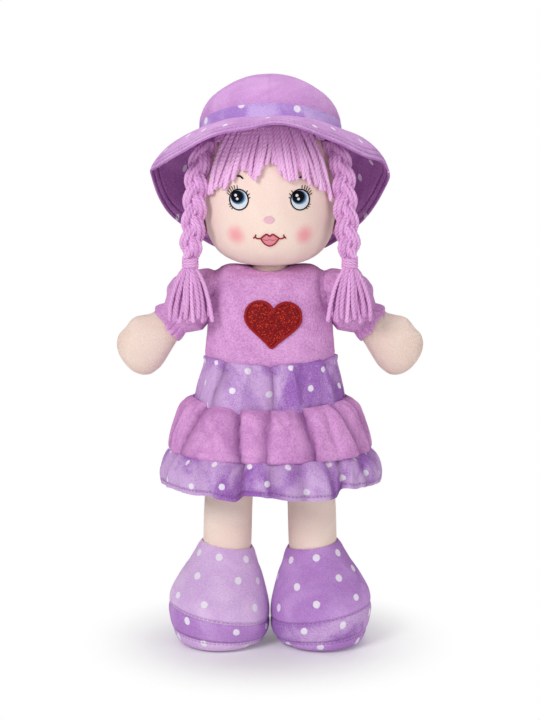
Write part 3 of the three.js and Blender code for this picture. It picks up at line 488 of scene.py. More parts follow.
def yarn_wool(name="twisted yarn", tones=None):
    """Twisted acrylic yarn, whose plies and strands show on its own UV map."""
    if name in bpy.data.materials:
        return bpy.data.materials[name]
    light, deep = tones or (colours().yarn, colours().yarn_deep)
    made, wire, surface = material(name)
    coordinates = wire.add("ShaderNodeTexCoord").outputs
    ply = wire.add("ShaderNodeGroup", node_tree=ply_effect())
    fill(wire, ply, {"UV": coordinates["UV"], "Plies": float(sizes().plies), "Pitch": sizes().ply_pitch})
    fibres = wire.noise(coordinates["Object"], 2200.0, 3.0)
    share = wire.math("MULTIPLY_ADD", ply.outputs["Tone"], 0.5, wire.math("MULTIPLY", ply.outputs["Shade"], 0.42))
    share = wire.math("MULTIPLY_ADD", wire.math("SUBTRACT", fibres, 0.4), 0.6, share)
    share = wire.add("ShaderNodeClamp", {0: share}).outputs[0]
    colour = wire.blend(share, solid(deep), solid(light))
    wire.tree.links.new(colour, surface.inputs["Base Color"])
    soft_surface(surface, 0.06, light)
    use_bump(wire, surface, wire.math("MULTIPLY_ADD", fibres, 0.4, ply.outputs["Shade"]), 0.7 * mm, 0.55)
    return made


def thread(name, colour, shine=0.25):
    """Satin stitch: close shiny threads side by side."""
    if name in bpy.data.materials:
        return bpy.data.materials[name]
    made, wire, surface = material(name)
    spot = wire.add("ShaderNodeTexCoord").outputs["Object"]
    place = wire.add("ShaderNodeSeparateXYZ", {0: spot}).outputs
    lean = wire.math("MULTIPLY_ADD", place["X"], 0.35, place["Z"])
    ridge = wire.math("SINE", wire.math("MULTIPLY", lean, full_turn / (0.5 * mm)))
    ridge = wire.math("MULTIPLY_ADD", wire.noise(spot, 1800.0), 0.8, ridge)
    shade = tuple(0.72 * value for value in colour)
    tone = wire.blend(wire.between(ridge, -1.0, 1.4), solid(shade), solid(colour))
    wire.tree.links.new(tone, surface.inputs["Base Color"])
    surface.inputs["Roughness"].default_value = 0.5
    surface.inputs["Specular IOR Level"].default_value = shine
    use_bump(wire, surface, ridge, 0.12 * mm, 0.5)
    return made


def glitter():
    """Cloth covered with fine flakes that catch the light each at its own angle."""
    made, wire, surface = material("glitter cloth")
    spot = wire.add("ShaderNodeTexCoord").outputs["Object"]
    flakes = wire.add("ShaderNodeTexVoronoi", {"Vector": spot, "Scale": 1900.0}).outputs["Color"]
    chance = wire.add("ShaderNodeSeparateXYZ", {0: flakes}).outputs
    ramp = wire.blend(wire.between(chance["X"], 0.1, 0.8), (0.12, 0.004, 0.006, 1), solid(colours().heart))
    # Painted glints: a share of the flakes gets a brighter colour, and is also made metallic so that it reflects the
    # lamps.
    glint = wire.between(chance["X"], 0.86, 0.95)
    colour = wire.blend(glint, ramp, solid(colours().heart_bright))
    wire.tree.links.new(colour, surface.inputs["Base Color"])
    surface.inputs["Roughness"].default_value = 0.5
    surface.inputs["Specular IOR Level"].default_value = 0.15
    wire.tree.links.new(wire.math("MULTIPLY", glint, 0.5), surface.inputs["Metallic"])
    use_bump(wire, surface, chance["Y"], 0.5 * mm, 0.8)
    return made


# Shaping

def fresh():
    """Nothing selected, in object mode."""
    if bpy.context.object and bpy.context.object.mode != "OBJECT":
        bpy.ops.object.mode_set(mode="OBJECT")
    bpy.ops.object.select_all(action="DESELECT")


def take(piece):
    fresh()
    piece.select_set(True)
    bpy.context.view_layer.objects.active = piece


def through(shares, values, where):
    """A smooth curve through values at shares, which never overshoots them."""
    if where <= shares[0]:
        return values[0]
    if where >= shares[-1]:
        return values[-1]
    spans = [b - a for a, b in zip(shares, shares[1:])]
    steps = [(b - a) / span for a, b, span in zip(values, values[1:], spans)]
    slopes = [steps[0]]
    for before, after in zip(steps, steps[1:]):
        slopes.append(0.0 if before * after <= 0 else 2 * before * after / (before + after))
    slopes.append(steps[-1])
    i = max(k for k in range(len(spans)) if shares[k] <= where)
    t = (where - shares[i]) / spans[i]
    start, end = values[i], values[i + 1]
    rise = start * (2 * t**3 - 3 * t**2 + 1) + end * (3 * t**2 - 2 * t**3)
    return rise + spans[i] * (slopes[i] * (t**3 - 2 * t**2 + t) + slopes[i + 1] * (t**3 - t**2))


def mark(piece, number):
    """Numbers the selected ring, and gives each point of the first ring its share of a turn."""
    shape = bmesh.from_edit_mesh(piece.data)
    layers = shape.verts.layers
    ring = layers.int.get("ring") or layers.int.new("ring")
    turn = layers.float.get("turn") or layers.float.new("turn")
    for vertex in shape.verts:
        if vertex.select:
            vertex[ring] = number
            if number == 0:
                vertex[turn] = math.atan2(vertex.co.x, -vertex.co.y) / full_turn
    bmesh.update_edit_mesh(piece.data)


def ring_form(name, stations, sides, closed=()):
    """A form drawn up ring by ring from a circle.
    A station is (height, half width, half depth, x, y) in millimetres. Closed names the ends to fill."""
    fresh()
    bpy.ops.mesh.primitive_circle_add(vertices=sides, radius=1, location=(0, 0, 0))
    piece = bpy.context.object
    piece.name = piece.data.name = name
    bpy.ops.object.mode_set(mode="EDIT")
    bpy.ops.mesh.select_all(action="SELECT")
    mark(piece, 0)
    size = (1.0, 1.0)
    place = Vector((0, 0, 0))
    for number, (height, wide, deep, x, y) in enumerate(stations):
        where = at(x, y, height)
        if number:
            bpy.ops.mesh.extrude_region_move(TRANSFORM_OT_translate={"value": where - place})
            mark(piece, number)
        else:
            bpy.ops.transform.translate(value=where - place)
        bpy.ops.transform.resize(
            value=(wide * mm / size[0], deep * mm / size[1], 1), center_override=where
        )
        size = (wide * mm, deep * mm)
        place = where
    if "top" in closed:
        bpy.ops.mesh.edge_face_add()
    if "bottom" in closed:
        shape = bmesh.from_edit_mesh(piece.data)
        ring = shape.verts.layers.int["ring"]
        bpy.ops.mesh.select_all(action="DESELECT")
        for vertex in shape.verts:
            vertex.select = vertex[ring] == 0
        shape.select_flush(True)
        bmesh.update_edit_mesh(piece.data)
        bpy.ops.mesh.edge_face_add()
    bpy.ops.mesh.select_all(action="SELECT")
    bpy.ops.mesh.normals_make_consistent(inside=False)
    bpy.ops.object.mode_set(mode="OBJECT")
    along = [0.0]
    for before, after in zip(stations, stations[1:]):
        rise = math.dist(before[:1] + before[3:], after[:1] + after[3:])
        grow = (after[1] + after[2] - before[1] - before[2]) / 2
        along.append(along[-1] + math.hypot(rise, grow) * mm)
    girths = [math.pi * (station[1] + station[2]) * mm for station in stations]
    piece.data.uv_layers.new(name="Unrolled")
    lay_out(piece, girths, along)
    return piece


def keep_stretch(mesh, ring, girths):
    """Keeps on the mesh how wide each ring is beside the mean one, whose girth the UV map has."""
    mean = sum(girths) / len(girths)
    if "stretch" not in mesh.attributes:
        mesh.attributes.new("stretch", "FLOAT", "POINT")
    mesh.attributes["stretch"].data.foreach_set("value", [girths[number] / mean for number in ring])
    return mean


def lay_out(piece, girths, along):
    """Unrolls a form to its UV map in metres, with the join of the map at the back."""
    mesh = piece.data
    layer = mesh.uv_layers["Unrolled"]
    ring = [value.value for value in mesh.attributes["ring"].data]
    mean = keep_stretch(mesh, ring, girths)
    turn = [value.value for value in mesh.attributes["turn"].data]
    for face in mesh.polygons:
        corners = [(i, mesh.loops[i].vertex_index) for i in face.loop_indices]
        turns = [turn[vertex] for _, vertex in corners]
        wraps = max(turns) - min(turns) > 0.5
        for (i, vertex), share in zip(corners, turns):
            share += 1 if wraps and share < 0 else 0
            layer.data[i].uv = (share * mean, along[ring[vertex]])


def reshape(piece, place_of):
    """Moves each point to where place_of says, from its turn, its share of the rings and its place."""
    mesh = piece.data
    ring = [value.value for value in mesh.attributes["ring"].data]
    turn = [value.value for value in mesh.attributes["turn"].data]
    last = max(ring)
    for vertex, number, share in zip(mesh.vertices, ring, turn):
        vertex.co = place_of(share, number / last, vertex.co.copy())


def stations_of(shares, widths, depths, bottom, top, half_width, half_depth, count, lean=None, round_ends=False):
    """Stations of a stuffed form whose widths and depths are given at shares of its height."""
    found = []
    for i in range(count + 1):
        share = i / count
        if round_ends:
            share = (1 - math.cos(math.pi * share)) / 2
        wide = max(half_width * through(shares, widths, share), 0.4)
        deep = max(half_depth * through(shares, depths, share), 0.4)
        x, y = lean(share) if lean else (0.0, 0.0)
        found.append((bottom + (top - bottom) * share, wide, deep, x, y))
    return found


def apply_all(piece):
    take(piece)
    for modifier in list(piece.modifiers):
        bpy.ops.object.modifier_apply(modifier=modifier.name)


def rounded(piece, levels=1):
    """Subdivides a form to a smooth one."""
    modifier = piece.modifiers.new("Rounded", "SUBSURF")
    modifier.levels = modifier.render_levels = levels
    apply_all(piece)
    take(piece)
    bpy.ops.object.shade_smooth()
    return piece


def thickened(piece, thickness, offset=-1.0):
    """Gives a sheet its thickness, inwards."""
    modifier = piece.modifiers.new("Thickness", "SOLIDIFY")
    modifier.thickness = thickness
    modifier.offset = offset
    modifier.use_rim = True
    apply_all(piece)
    bpy.ops.object.shade_smooth_by_angle(angle=math.radians(70))
    return piece


def puffed(piece, growth, most, held, frames=16, pressure=2.0):
    """Cloth simulation: the cloth grows by a share between its held seams, so it puffs and wrinkles.
    Held picks the seams' points by ring share and place. No point moves more than most, in millimetres."""
    mesh = piece.data
    ring = [value.value for value in mesh.attributes["ring"].data]
    last = max(ring)
    before = [vertex.co.copy() for vertex in mesh.vertices]
    seams = [i for i, place in enumerate(before) if held(ring[i] / last, place)]
    piece.vertex_groups.new(name="seams").add(seams, 1.0, "REPLACE")
    modifier = piece.modifiers.new("Cloth", "CLOTH")
    settings = modifier.settings
    settings.quality = 5
    settings.mass = 0.01
    settings.tension_stiffness = settings.compression_stiffness = 15
    settings.shear_stiffness = 5
    settings.bending_stiffness = 0.05
    settings.use_pressure = True
    settings.uniform_pressure_force = pressure
    settings.effector_weights.gravity = 0
    settings.shrink_min = -growth
    settings.vertex_group_mass = "seams"
    modifier.collision_settings.use_collision = False
    modifier.collision_settings.use_self_collision = False
    modifier.point_cache.frame_start = 1
    modifier.point_cache.frame_end = frames
    scene = bpy.context.scene
    for number in range(1, frames + 1):
        scene.frame_set(number)
    apply_all(piece)
    scene.frame_set(1)
    for vertex, place in zip(piece.data.vertices, before):
        move = vertex.co - place
        if move.length > most * mm:
            vertex.co = place + move * (most * mm / move.length)
    piece.vertex_groups.clear()
    return piece


def mirrored(piece, name):
    """A copy for the doll's right side, with its own mesh and its print shifted."""
    twin = piece.copy()
    twin.data = piece.data.copy()
    twin.name = twin.data.name = name
    bpy.context.scene.collection.objects.link(twin)
    twin.data.transform(Matrix.Scale(-1, 4, (1, 0, 0)))
    twin.data.flip_normals()
    for layer in twin.data.uv_layers:
        if layer.name == "Unrolled":
            for corner in layer.data:
                corner.uv.x += 0.0485
    return twin


def cut_off(piece, normal, where):
    """Takes away what lies behind a plane."""
    take(piece)
    bpy.ops.object.mode_set(mode="EDIT")
    bpy.ops.mesh.select_all(action="SELECT")
    bpy.ops.mesh.bisect(plane_co=where, plane_no=normal, clear_inner=True, clear_outer=False)
    bpy.ops.object.mode_set(mode="OBJECT")


def halves(piece, names, normal, where):
    """Cuts an open form in two along a plane and gives back both halves."""
    made = []
    for name, side in zip(names, (1, -1)):
        half = piece.copy()
        half.data = piece.data.copy()
        half.name = half.data.name = name
        bpy.context.scene.collection.objects.link(half)
        cut_off(half, Vector(normal) * side, where)
        made.append(half)
    bpy.data.objects.remove(piece)
    return made


def coat(piece, *finishes):
    piece.data.materials.clear()
    for finish in finishes:
        piece.data.materials.append(finish)
    return piece


def joined(name, pieces):
    """Several parts of one piece as one mesh."""
    take(pieces[0])
    for piece in pieces:
        piece.select_set(True)
    bpy.ops.object.join()
    whole = bpy.context.object
    whole.name = whole.data.name = name
    return whole


def strands(name, paths, radius, sides=9, closed=False, flat=1.0):
    """Twisted yarn along paths of points, as one mesh. Radius may be one for each path.
    The UV map holds the strand's number plus its turn across, and its length along."""
    plies, pitch = sizes().plies, sizes().ply_pitch
    points, faces, corners = [], [], []
    for number, path in enumerate(paths):
        size = radius[number] if isinstance(radius, list) else radius
        first = len(points)
        side = None
        gone = 0.0
        count = len(path)
        for k, place in enumerate(path):
            if closed:
                ahead = path[(k + 1) % count] - path[k - 1]
            else:
                ahead = path[min(k + 1, count - 1)] - path[max(k - 1, 0)]
            ahead = ahead.normalized()
            if side is None:
                side = ahead.orthogonal() if abs(ahead.y) > 0.9 else ahead.cross(Vector((0, 1, 0)))
            side = (side - ahead * side.dot(ahead)).normalized()
            over = ahead.cross(side)
            if k:
                gone += (place - path[k - 1]).length
            end = min(k, count - 1 - k)
            taper = 1.0 if closed or end > 0 else 0.62
            for j in range(sides):
                angle = full_turn * j / sides
                lobe = 1 + 0.07 * math.cos(plies * (angle - full_turn * gone / pitch))
                reach = size * lobe * taper
                points.append(place + side * (reach * math.cos(angle)) + over * (reach * flat * math.sin(angle)))
            if k:
                row = first + (k - 1) * sides
                for j in range(sides):
                    beside = (j + 1) % sides
                    faces.append((row + j, row + beside, row + sides + beside, row + sides + j))
                    start = gone - (place - path[k - 1]).length
                    left, right = number + j / sides * 0.999, number + (j + 1) / sides * 0.999
                    corners.append([(left, start), (right, start), (right, gone), (left, gone)])
        if closed:
            row = first + (count - 1) * sides
            for j in range(sides):
                beside = (j + 1) % sides
                faces.append((row + j, row + beside, first + beside, first + j))
                left, right = number + j / sides * 0.999, number + (j + 1) / sides * 0.999
                corners.append([(left, gone), (right, gone), (right, gone + size), (left, gone + size)])
        else:
            for row, flipped in ((first, True), (first + (count - 1) * sides, False)):
                cap = [row + j for j in range(sides)]
                faces.append(tuple(reversed(cap)) if flipped else tuple(cap))
                corners.append([(number + 0.5, gone)] * sides)
    mesh = bpy.data.meshes.new(name)
    mesh.from_pydata([tuple(point) for point in points], [], faces)
    layer = mesh.uv_layers.new(name="Strand")
    layer.data.foreach_set("uv", [value for face in corners for corner in face for value in corner])
    piece = bpy.data.objects.new(name, mesh)
    bpy.context.scene.collection.objects.link(piece)
    take(piece)
    bpy.ops.object.mode_set(mode="EDIT")
    bpy.ops.mesh.select_all(action="SELECT")
    bpy.ops.mesh.normals_make_consistent(inside=False)
    bpy.ops.object.mode_set(mode="OBJECT")
    bpy.ops.object.shade_smooth()
    return piece


def front_of(piece):
    """Gives the point on a piece's front that lies behind (x, z), in millimetres, lifted off by lift."""
    tree = BVHTree.FromObject(piece, bpy.context.evaluated_depsgraph_get())

    def ground(x, z, lift=0.0):
        place, normal, _, _ = tree.ray_cast(Vector((x * mm, -0.5, z * mm)), Vector((0, 1, 0)))
        if place is None:
            raise RuntimeError(f"{piece.name} has no front at {x}, {z}")
        return place + normal * lift * mm

    return ground


def sewn_patch(name, outline, middle, ground, lift, thickness, finish, rings=3):
    """A filled patch of stitching laid on a piece. The outline is (x, z) pairs in millimetres."""
    fresh()
    bpy.ops.mesh.primitive_circle_add(vertices=len(outline), radius=1, location=(0, 0, 0))
    patch = bpy.context.object
    patch.name = patch.data.name = name
    for vertex, (x, z) in zip(patch.data.vertices, outline):
        vertex.co = (x * mm, -0.3, z * mm)
    bpy.ops.object.mode_set(mode="EDIT")
    bpy.ops.mesh.select_all(action="SELECT")
    centre = Vector((middle[0] * mm, -0.3, middle[1] * mm))
    for i in range(rings, 0, -1):
        bpy.ops.mesh.extrude_region_move()
        share = (i - 0.4) / (i + 0.6)
        bpy.ops.transform.resize(value=(share, 1, share), center_override=centre)
    bpy.ops.mesh.edge_face_add()
    bpy.ops.mesh.select_all(action="SELECT")
    bpy.ops.mesh.normals_make_consistent(inside=False)
    bpy.ops.object.mode_set(mode="OBJECT")
    if sum(face.normal.y * face.area for face in patch.data.polygons) > 0:
        patch.data.flip_normals()
    wrap = patch.modifiers.new("Laid on", "SHRINKWRAP")
    wrap.target = ground
    wrap.wrap_method = "PROJECT"
    wrap.use_project_y = True
    wrap.use_positive_direction = True
    wrap.use_negative_direction = False
    wrap.offset = lift * mm
    apply_all(patch)
    thickened(patch, thickness * mm, 1.0)
    rounded(patch, 1)
    return coat(patch, finish)


def oval(x, z, half_width, half_height, count=28):
    turns = [full_turn * i / count for i in range(count)]
    return [(x + half_width * math.sin(turn), z + half_height * math.cos(turn)) for turn in turns]


def smooth_path(corners, step):
    """Points a step apart along a smooth curve through corners, in millimetres."""
    gone = [0.0]
    for before, after in zip(corners, corners[1:]):
        gone.append(gone[-1] + math.dist(before, after))
    count = max(2, round(gone[-1] / step))
    sides = list(zip(*corners))
    return [
        tuple(through(gone, side, gone[-1] * i / count) for side in sides) for i in range(count + 1)
    ]


def lumpy(piece, amount, scale, seed):
    """Uneven stuffing: moves each point a little in or out."""
    shift = Vector((seed * 7.3, seed * 3.1, seed * 5.7))
    moves = [
        vertex.normal * (noise.noise(vertex.co * scale + shift) * amount * mm) for vertex in piece.data.vertices
    ]
    for vertex, move in zip(piece.data.vertices, moves):
        vertex.co += move
    return piece


def grooved(piece, distance, width, depth):
    """Pulls the cloth in along a seam. Distance gives how far a point lies from it, in metres."""
    moves = []
    for vertex in piece.data.vertices:
        away = abs(distance(vertex.co)) / (width * mm)
        moves.append(-vertex.normal * (depth * mm * max(0.0, 1 - away) ** 2))
    for vertex, move in zip(piece.data.vertices, moves):
        vertex.co += move
    return piece


def unroll(piece, from_end=False, by_ring=False):
    """Lays out the UV map again after a form is reshaped, with true lengths along and round it.
    By ring gives all of a ring its mean length along, so that a straight seam follows it."""
    mesh = piece.data
    ring = [value.value for value in mesh.attributes["ring"].data]
    turn = [value.value for value in mesh.attributes["turn"].data]
    rows = {}
    columns = {}
    for i, (number, share) in enumerate(zip(ring, turn)):
        rows.setdefault(number, []).append((share, i))
        columns.setdefault(round(share, 4), []).append((number, i))
    places = [vertex.co for vertex in mesh.vertices]
    girths = {}
    for number, row in rows.items():
        row.sort()
        girths[number] = sum((places[a] - places[b]).length for (_, a), (_, b) in zip(row, row[1:] + row[:1]))
    along = [0.0] * len(ring)
    for column in columns.values():
        column.sort()
        for (_, before), (_, after) in zip(column, column[1:]):
            along[after] = along[before] + (places[after] - places[before]).length
        if from_end:
            gone = along[column[-1][1]]
            for _, i in column:
                along[i] -= gone
    if by_ring:
        for row in rows.values():
            mean = sum(along[i] for _, i in row) / len(row)
            for _, i in row:
                along[i] = mean
    mean = keep_stretch(mesh, ring, [girths[number] for number in sorted(girths)])
    layer = mesh.uv_layers["Unrolled"]
    for face in mesh.polygons:
        corners = [(i, mesh.loops[i].vertex_index) for i in face.loop_indices]
        turns = [turn[vertex] for _, vertex in corners]
        wraps = max(turns) - min(turns) > 0.5
        for (i, vertex), share in zip(corners, turns):
            share += 1 if wraps and share < 0 else 0
            layer.data[i].uv = (share * mean, along[vertex])


def lay_flat(piece, inner_radius):
    """A second UV map, for a ring cut from flat cloth, made from the unrolled one."""
    mesh = piece.data
    turn = [value.value for value in mesh.attributes["turn"].data]
    unrolled = mesh.uv_layers["Unrolled"]
    lengths = [corner.uv.y for corner in unrolled.data]
    start = min(lengths)
    flat = mesh.uv_layers.new(name="Flat")
    for i, (loop, length_along) in enumerate(zip(mesh.loops, lengths)):
        angle = full_turn * turn[loop.vertex_index]
        out = inner_radius + length_along - start
        flat.data[i].uv = (out * math.sin(angle), -out * math.cos(angle))


def height_of_seam(piece, number):
    """The unrolled height of a numbered ring at the front."""
    mesh = piece.data
    ring = [value.value for value in mesh.attributes["ring"].data]
    turn = [value.value for value in mesh.attributes["turn"].data]
    layer = mesh.uv_layers["Unrolled"].data
    return next(
        layer[i].uv.y
        for i, loop in enumerate(mesh.loops)
        if ring[loop.vertex_index] == number and abs(turn[loop.vertex_index]) < 0.02
    )


def facing_up(piece):
    if sum(face.normal.z * face.area for face in piece.data.polygons) < 0:
        piece.data.flip_normals()
    return piece


def folds_of(count, seed, drift=0.35, start=0.0, end=1.0, deep=1.0):
    """Uneven folds from start to end of a turn, the deepest of them as deep as deep says.
    A fold is its turn, its depth, its drift from top to bottom and how far its two sides reach."""
    chance = random.Random(seed)
    span = (end - start) / count
    found = []
    for k in range(count):
        place = start + (k + 0.5 + chance.uniform(-0.28, 0.28)) * span
        reaches = [0.62 * span, 0.24 * span]
        chance.shuffle(reaches)
        found.append((place, deep * chance.uniform(0.5, 1.0), chance.uniform(-drift, drift) * span, *reaches))
    return found


def puff(folds, turn, share):
    """From 0 in the valley of a fold to 1 on the puff between folds."""
    lowest = 1.0
    for place, depth, drift, before, after in folds:
        away = (turn - place - drift * share + 0.5) % 1 - 0.5
        away = abs(away) / (after if away > 0 else before)
        if away < 1:
            lowest = min(lowest, 1 - depth * (1 - math.sin(math.pi / 2 * away)))
    return lowest


def mark_folds(piece, folds):
    """Keeps on the mesh how far each point is out of the valleys of the folds, which the cloth's material reads to
    paint shade in the valleys.
    """
    mesh = piece.data
    rings = [value.value for value in mesh.attributes["ring"].data]
    turns = [value.value for value in mesh.attributes["turn"].data]
    last = max(rings)
    values = [puff(folds, turn, ring / last) for ring, turn in zip(rings, turns)]
    mesh.attributes.new("fold", "FLOAT", "POINT").data.foreach_set("value", values)


def lie_along_arm(piece):
    """Turns a piece drawn upright about the middle line to lie along the left arm."""
    turn = Matrix.Rotation(math.radians(90) + arm_droop, 4, "Y")
    shoulder = joint_at["left_arm_raise"]
    piece.data.transform(Matrix.Translation(shoulder) @ turn @ Matrix.Translation(-at(0, 0, 0)))
    return piece


def cloth_area(piece):
    """The cloth in a thickened sheet, in square metres."""
    return sum(face.area for face in piece.data.polygons) / 2


def cloth_flat(piece, height):
    """The width and length in metres that a sheet of this height was cut to."""
    return (cloth_area(piece) / height, height)


def dress(piece, body, slot, *nodes):
    """The piece moves with a body, and the frame nodes that it stands for are hidden. The slot is not used."""
    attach(piece, body)
    if nodes:
        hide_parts(*nodes)
    return piece


# The doll's forms, in millimetres

arm_droop = math.radians(37)
hat_tilt = math.radians(22)
head_heights = [0, 0.02, 0.09, 0.22, 0.4, 0.58, 0.75, 0.89, 0.975, 1]
head_widths = [0, 0.42, 0.77, 0.945, 1, 0.97, 0.85, 0.61, 0.3, 0]
body_heights = [0, 0.05, 0.14, 0.56, 0.76, 0.88, 0.96, 1]
body_widths = [0.62, 0.86, 0.98, 1, 0.98, 0.95, 0.85, 0.6]
body_depths = [0.6, 0.86, 0.98, 1, 0.97, 0.87, 0.7, 0.56]
shoe_heights = [0, 0.05, 0.15, 0.3, 0.44, 0.6, 0.8, 1]
shoe_widths = [0.7, 0.84, 0.94, 1, 0.98, 0.88, 0.7, 0.51]
shoe_depths = [0.72, 0.85, 0.945, 1, 0.965, 0.835, 0.64, 0.47]
shoe_leans = [1, 1, 1, 1, 0.91, 0.65, 0.27, 0]
sleeve_shares = [0, 0.07, 0.2, 0.38, 0.58, 0.74, 0.9, 1]
sleeve_widths = [0, 0.5, 0.8, 0.92, 1, 0.99, 0.82, 0.66]
hand_shares = [0, 0.2, 0.42, 0.62, 0.76, 0.87, 0.95, 0.99, 1]
hand_widths = [0.63, 0.72, 0.87, 0.99, 1, 0.86, 0.6, 0.28, 0]
hand_depths = [0.8, 0.84, 0.92, 1, 1, 0.86, 0.6, 0.28, 0]
leg_heights = [0, 0.4, 0.79, 0.87, 0.935, 0.98, 1]
leg_widths = [0.99, 0.98, 1, 0.93, 0.74, 0.42, 0]
crown_rises = [0, 0.2, 0.42, 0.64, 0.84, 0.965, 1]
crown_widths = [0.985, 0.955, 0.87, 0.7, 0.47, 0.19, 0]
brim_turns = [0, 0.08, 0.1667, 0.25, 0.3333, 0.5, 0.6667, 0.8333, 1]
brim_reaches = [1, 1.005, 1.02, 1.03, 1.04, 1.045, 1, 0.89, 0.85]
brim_falls = [0, 0.02, 0.08, 0.16, 0.24, 0.38, 0.69, 0.92, 1]


def body_size(height, grow=0.0):
    share = (height - 166) / 99
    return (
        44.5 * through(body_heights, body_widths, share) + grow,
        30.5 * through(body_heights, body_depths, share) + grow,
    )


def head_size(height, grow=0.0):
    share = (height - 267) / 118
    width = through(head_heights, head_widths, share)
    return (47 * width + grow, 45 * width + grow)


def head_point(angle, height, out):
    """A point off the head at an angle in degrees from its front."""
    wide, deep = head_size(height, out)
    turn = math.radians(angle)
    return at(wide * math.sin(turn), -deep * math.cos(turn), height)


def hat_matrix():
    return Matrix.Translation(at(0, 7, 352)) @ Matrix.Rotation(-hat_tilt, 4, "X") @ Matrix.Translation(-at(0, 0, 0))


class DOLL_OT_stage(bpy.types.Operator):
    """Makes the camera, the lamps and the pale floor"""

    bl_idname = "doll.stage"
    bl_label = "Camera, lamps and floor"

    def execute(self, context):
        scene = context.scene
        scene.view_settings.view_transform = "Standard"
        aim = at(0, 0, 200)
        tilt = sizes().camera_height
        eye = aim + sizes().camera_distance * Vector((0, -math.cos(tilt), math.sin(tilt)))
        fresh()
        bpy.ops.object.camera_add(location=eye)
        camera = context.object
        camera.name = "camera"
        camera.rotation_euler = (aim - eye).to_track_quat("-Z", "Y").to_euler()
        camera.data.sensor_fit = "VERTICAL"
        camera.data.angle = sizes().camera_view
        scene.camera = camera
        lamps = [
            ("key lamp", (-0.8, -1.2, 1.0), 0.55, 12.8),
            ("fill lamp", (1.2, -1.0, 0.4), 1.0, 4.8),
            ("top lamp", (0.1, 0.2, 1.6), 0.7, 7.0),
        ]
        for name, place, size, power in lamps:
            bpy.ops.object.light_add(type="AREA", location=place)
            lamp = context.object
            lamp.name = name
            lamp.data.size = size
            lamp.data.energy = power
            lamp.rotation_euler = (at(0, 0, 200) - Vector(place)).to_track_quat("-Z", "Y").to_euler()
        world = bpy.data.worlds.new("pale studio")
        scene.world = world
        world.use_nodes = True
        wire = Wiring(world.node_tree)
        path = wire.add("ShaderNodeLightPath").outputs
        seen = wire.math("MAXIMUM", path["Is Camera Ray"], path["Is Glossy Ray"])
        sky = world.node_tree.nodes["Background"]
        level = wire.math("MULTIPLY_ADD", seen, 0.62, 0.38)
        world.node_tree.links.new(level, sky.inputs["Strength"])
        sky.inputs["Color"].default_value = (1, 1, 1, 1)
        self.floor(context)
        return {"FINISHED"}

    def floor(self, context):
        fresh()
        bpy.ops.mesh.primitive_circle_add(vertices=64, radius=2.2, fill_type="NGON", location=(0, 0, -0.0004))
        floor = context.object
        floor.name = "floor"
        made, wire, surface = material("pale floor")
        surface.inputs["Base Color"].default_value = (0.97, 0.97, 0.97, 1)
        surface.inputs["Roughness"].default_value = 0.55
        surface.inputs["Specular IOR Level"].default_value = 0.25
        spot = wire.add("ShaderNodeTexCoord").outputs["Object"]
        away = wire.add("ShaderNodeVectorMath", {0: spot}, operation="LENGTH").outputs["Value"]
        far = wire.between(away, 0.055, 0.14, 0.1, 1.0)
        seen = wire.add("ShaderNodeLightPath").outputs["Is Camera Ray"]
        glow = wire.add("ShaderNodeEmission", {"Color": (1, 1, 1, 1), "Strength": 1.0})
        clear = wire.add("ShaderNodeMixShader", {0: wire.math("MULTIPLY", far, seen)})
        wire.tree.links.new(surface.outputs[0], clear.inputs[1])
        wire.tree.links.new(glow.outputs[0], clear.inputs[2])
        wire.tree.links.new(clear.outputs[0], wire.tree.nodes["Material Output"].inputs["Surface"])
        coat(floor, made)


class DOLL_OT_head(bpy.types.Operator):
    """Makes the stuffed head with its airbrushed cheeks, and the neck"""

    bl_idname = "doll.head"
    bl_label = "Head and neck"

    def execute(self, context):
        stations = stations_of(head_heights, head_widths, head_widths, 266.2, 385, 47, 45, 22, round_ends=True)
        head = ring_form("head", stations, 48, closed=("top", "bottom"))
        rounded(head, 1)
        lumpy(head, 0.5, 22, 1)
        ground = front_of(head)
        cheeks = [ground(-23.3, 291.5), ground(23.3, 291.5)]
        coat(head, face_velour(cheeks))
        dress(head, "head", "skin_cloth", "head_skin", "head_filling")
        neck = ring_form(
            "neck_column", [(248, 13.2, 13.2, 0, 0), (258, 13, 13, 0, 0), (266, 13.5, 13.5, 0, 0), (272, 11, 11, 0, 0)],
            32, closed=("top", "bottom"),
        )
        coat(rounded(neck, 1), skin_velour())
        dress(neck, "neck", "skin_cloth", "neck")
        return {"FINISHED"}


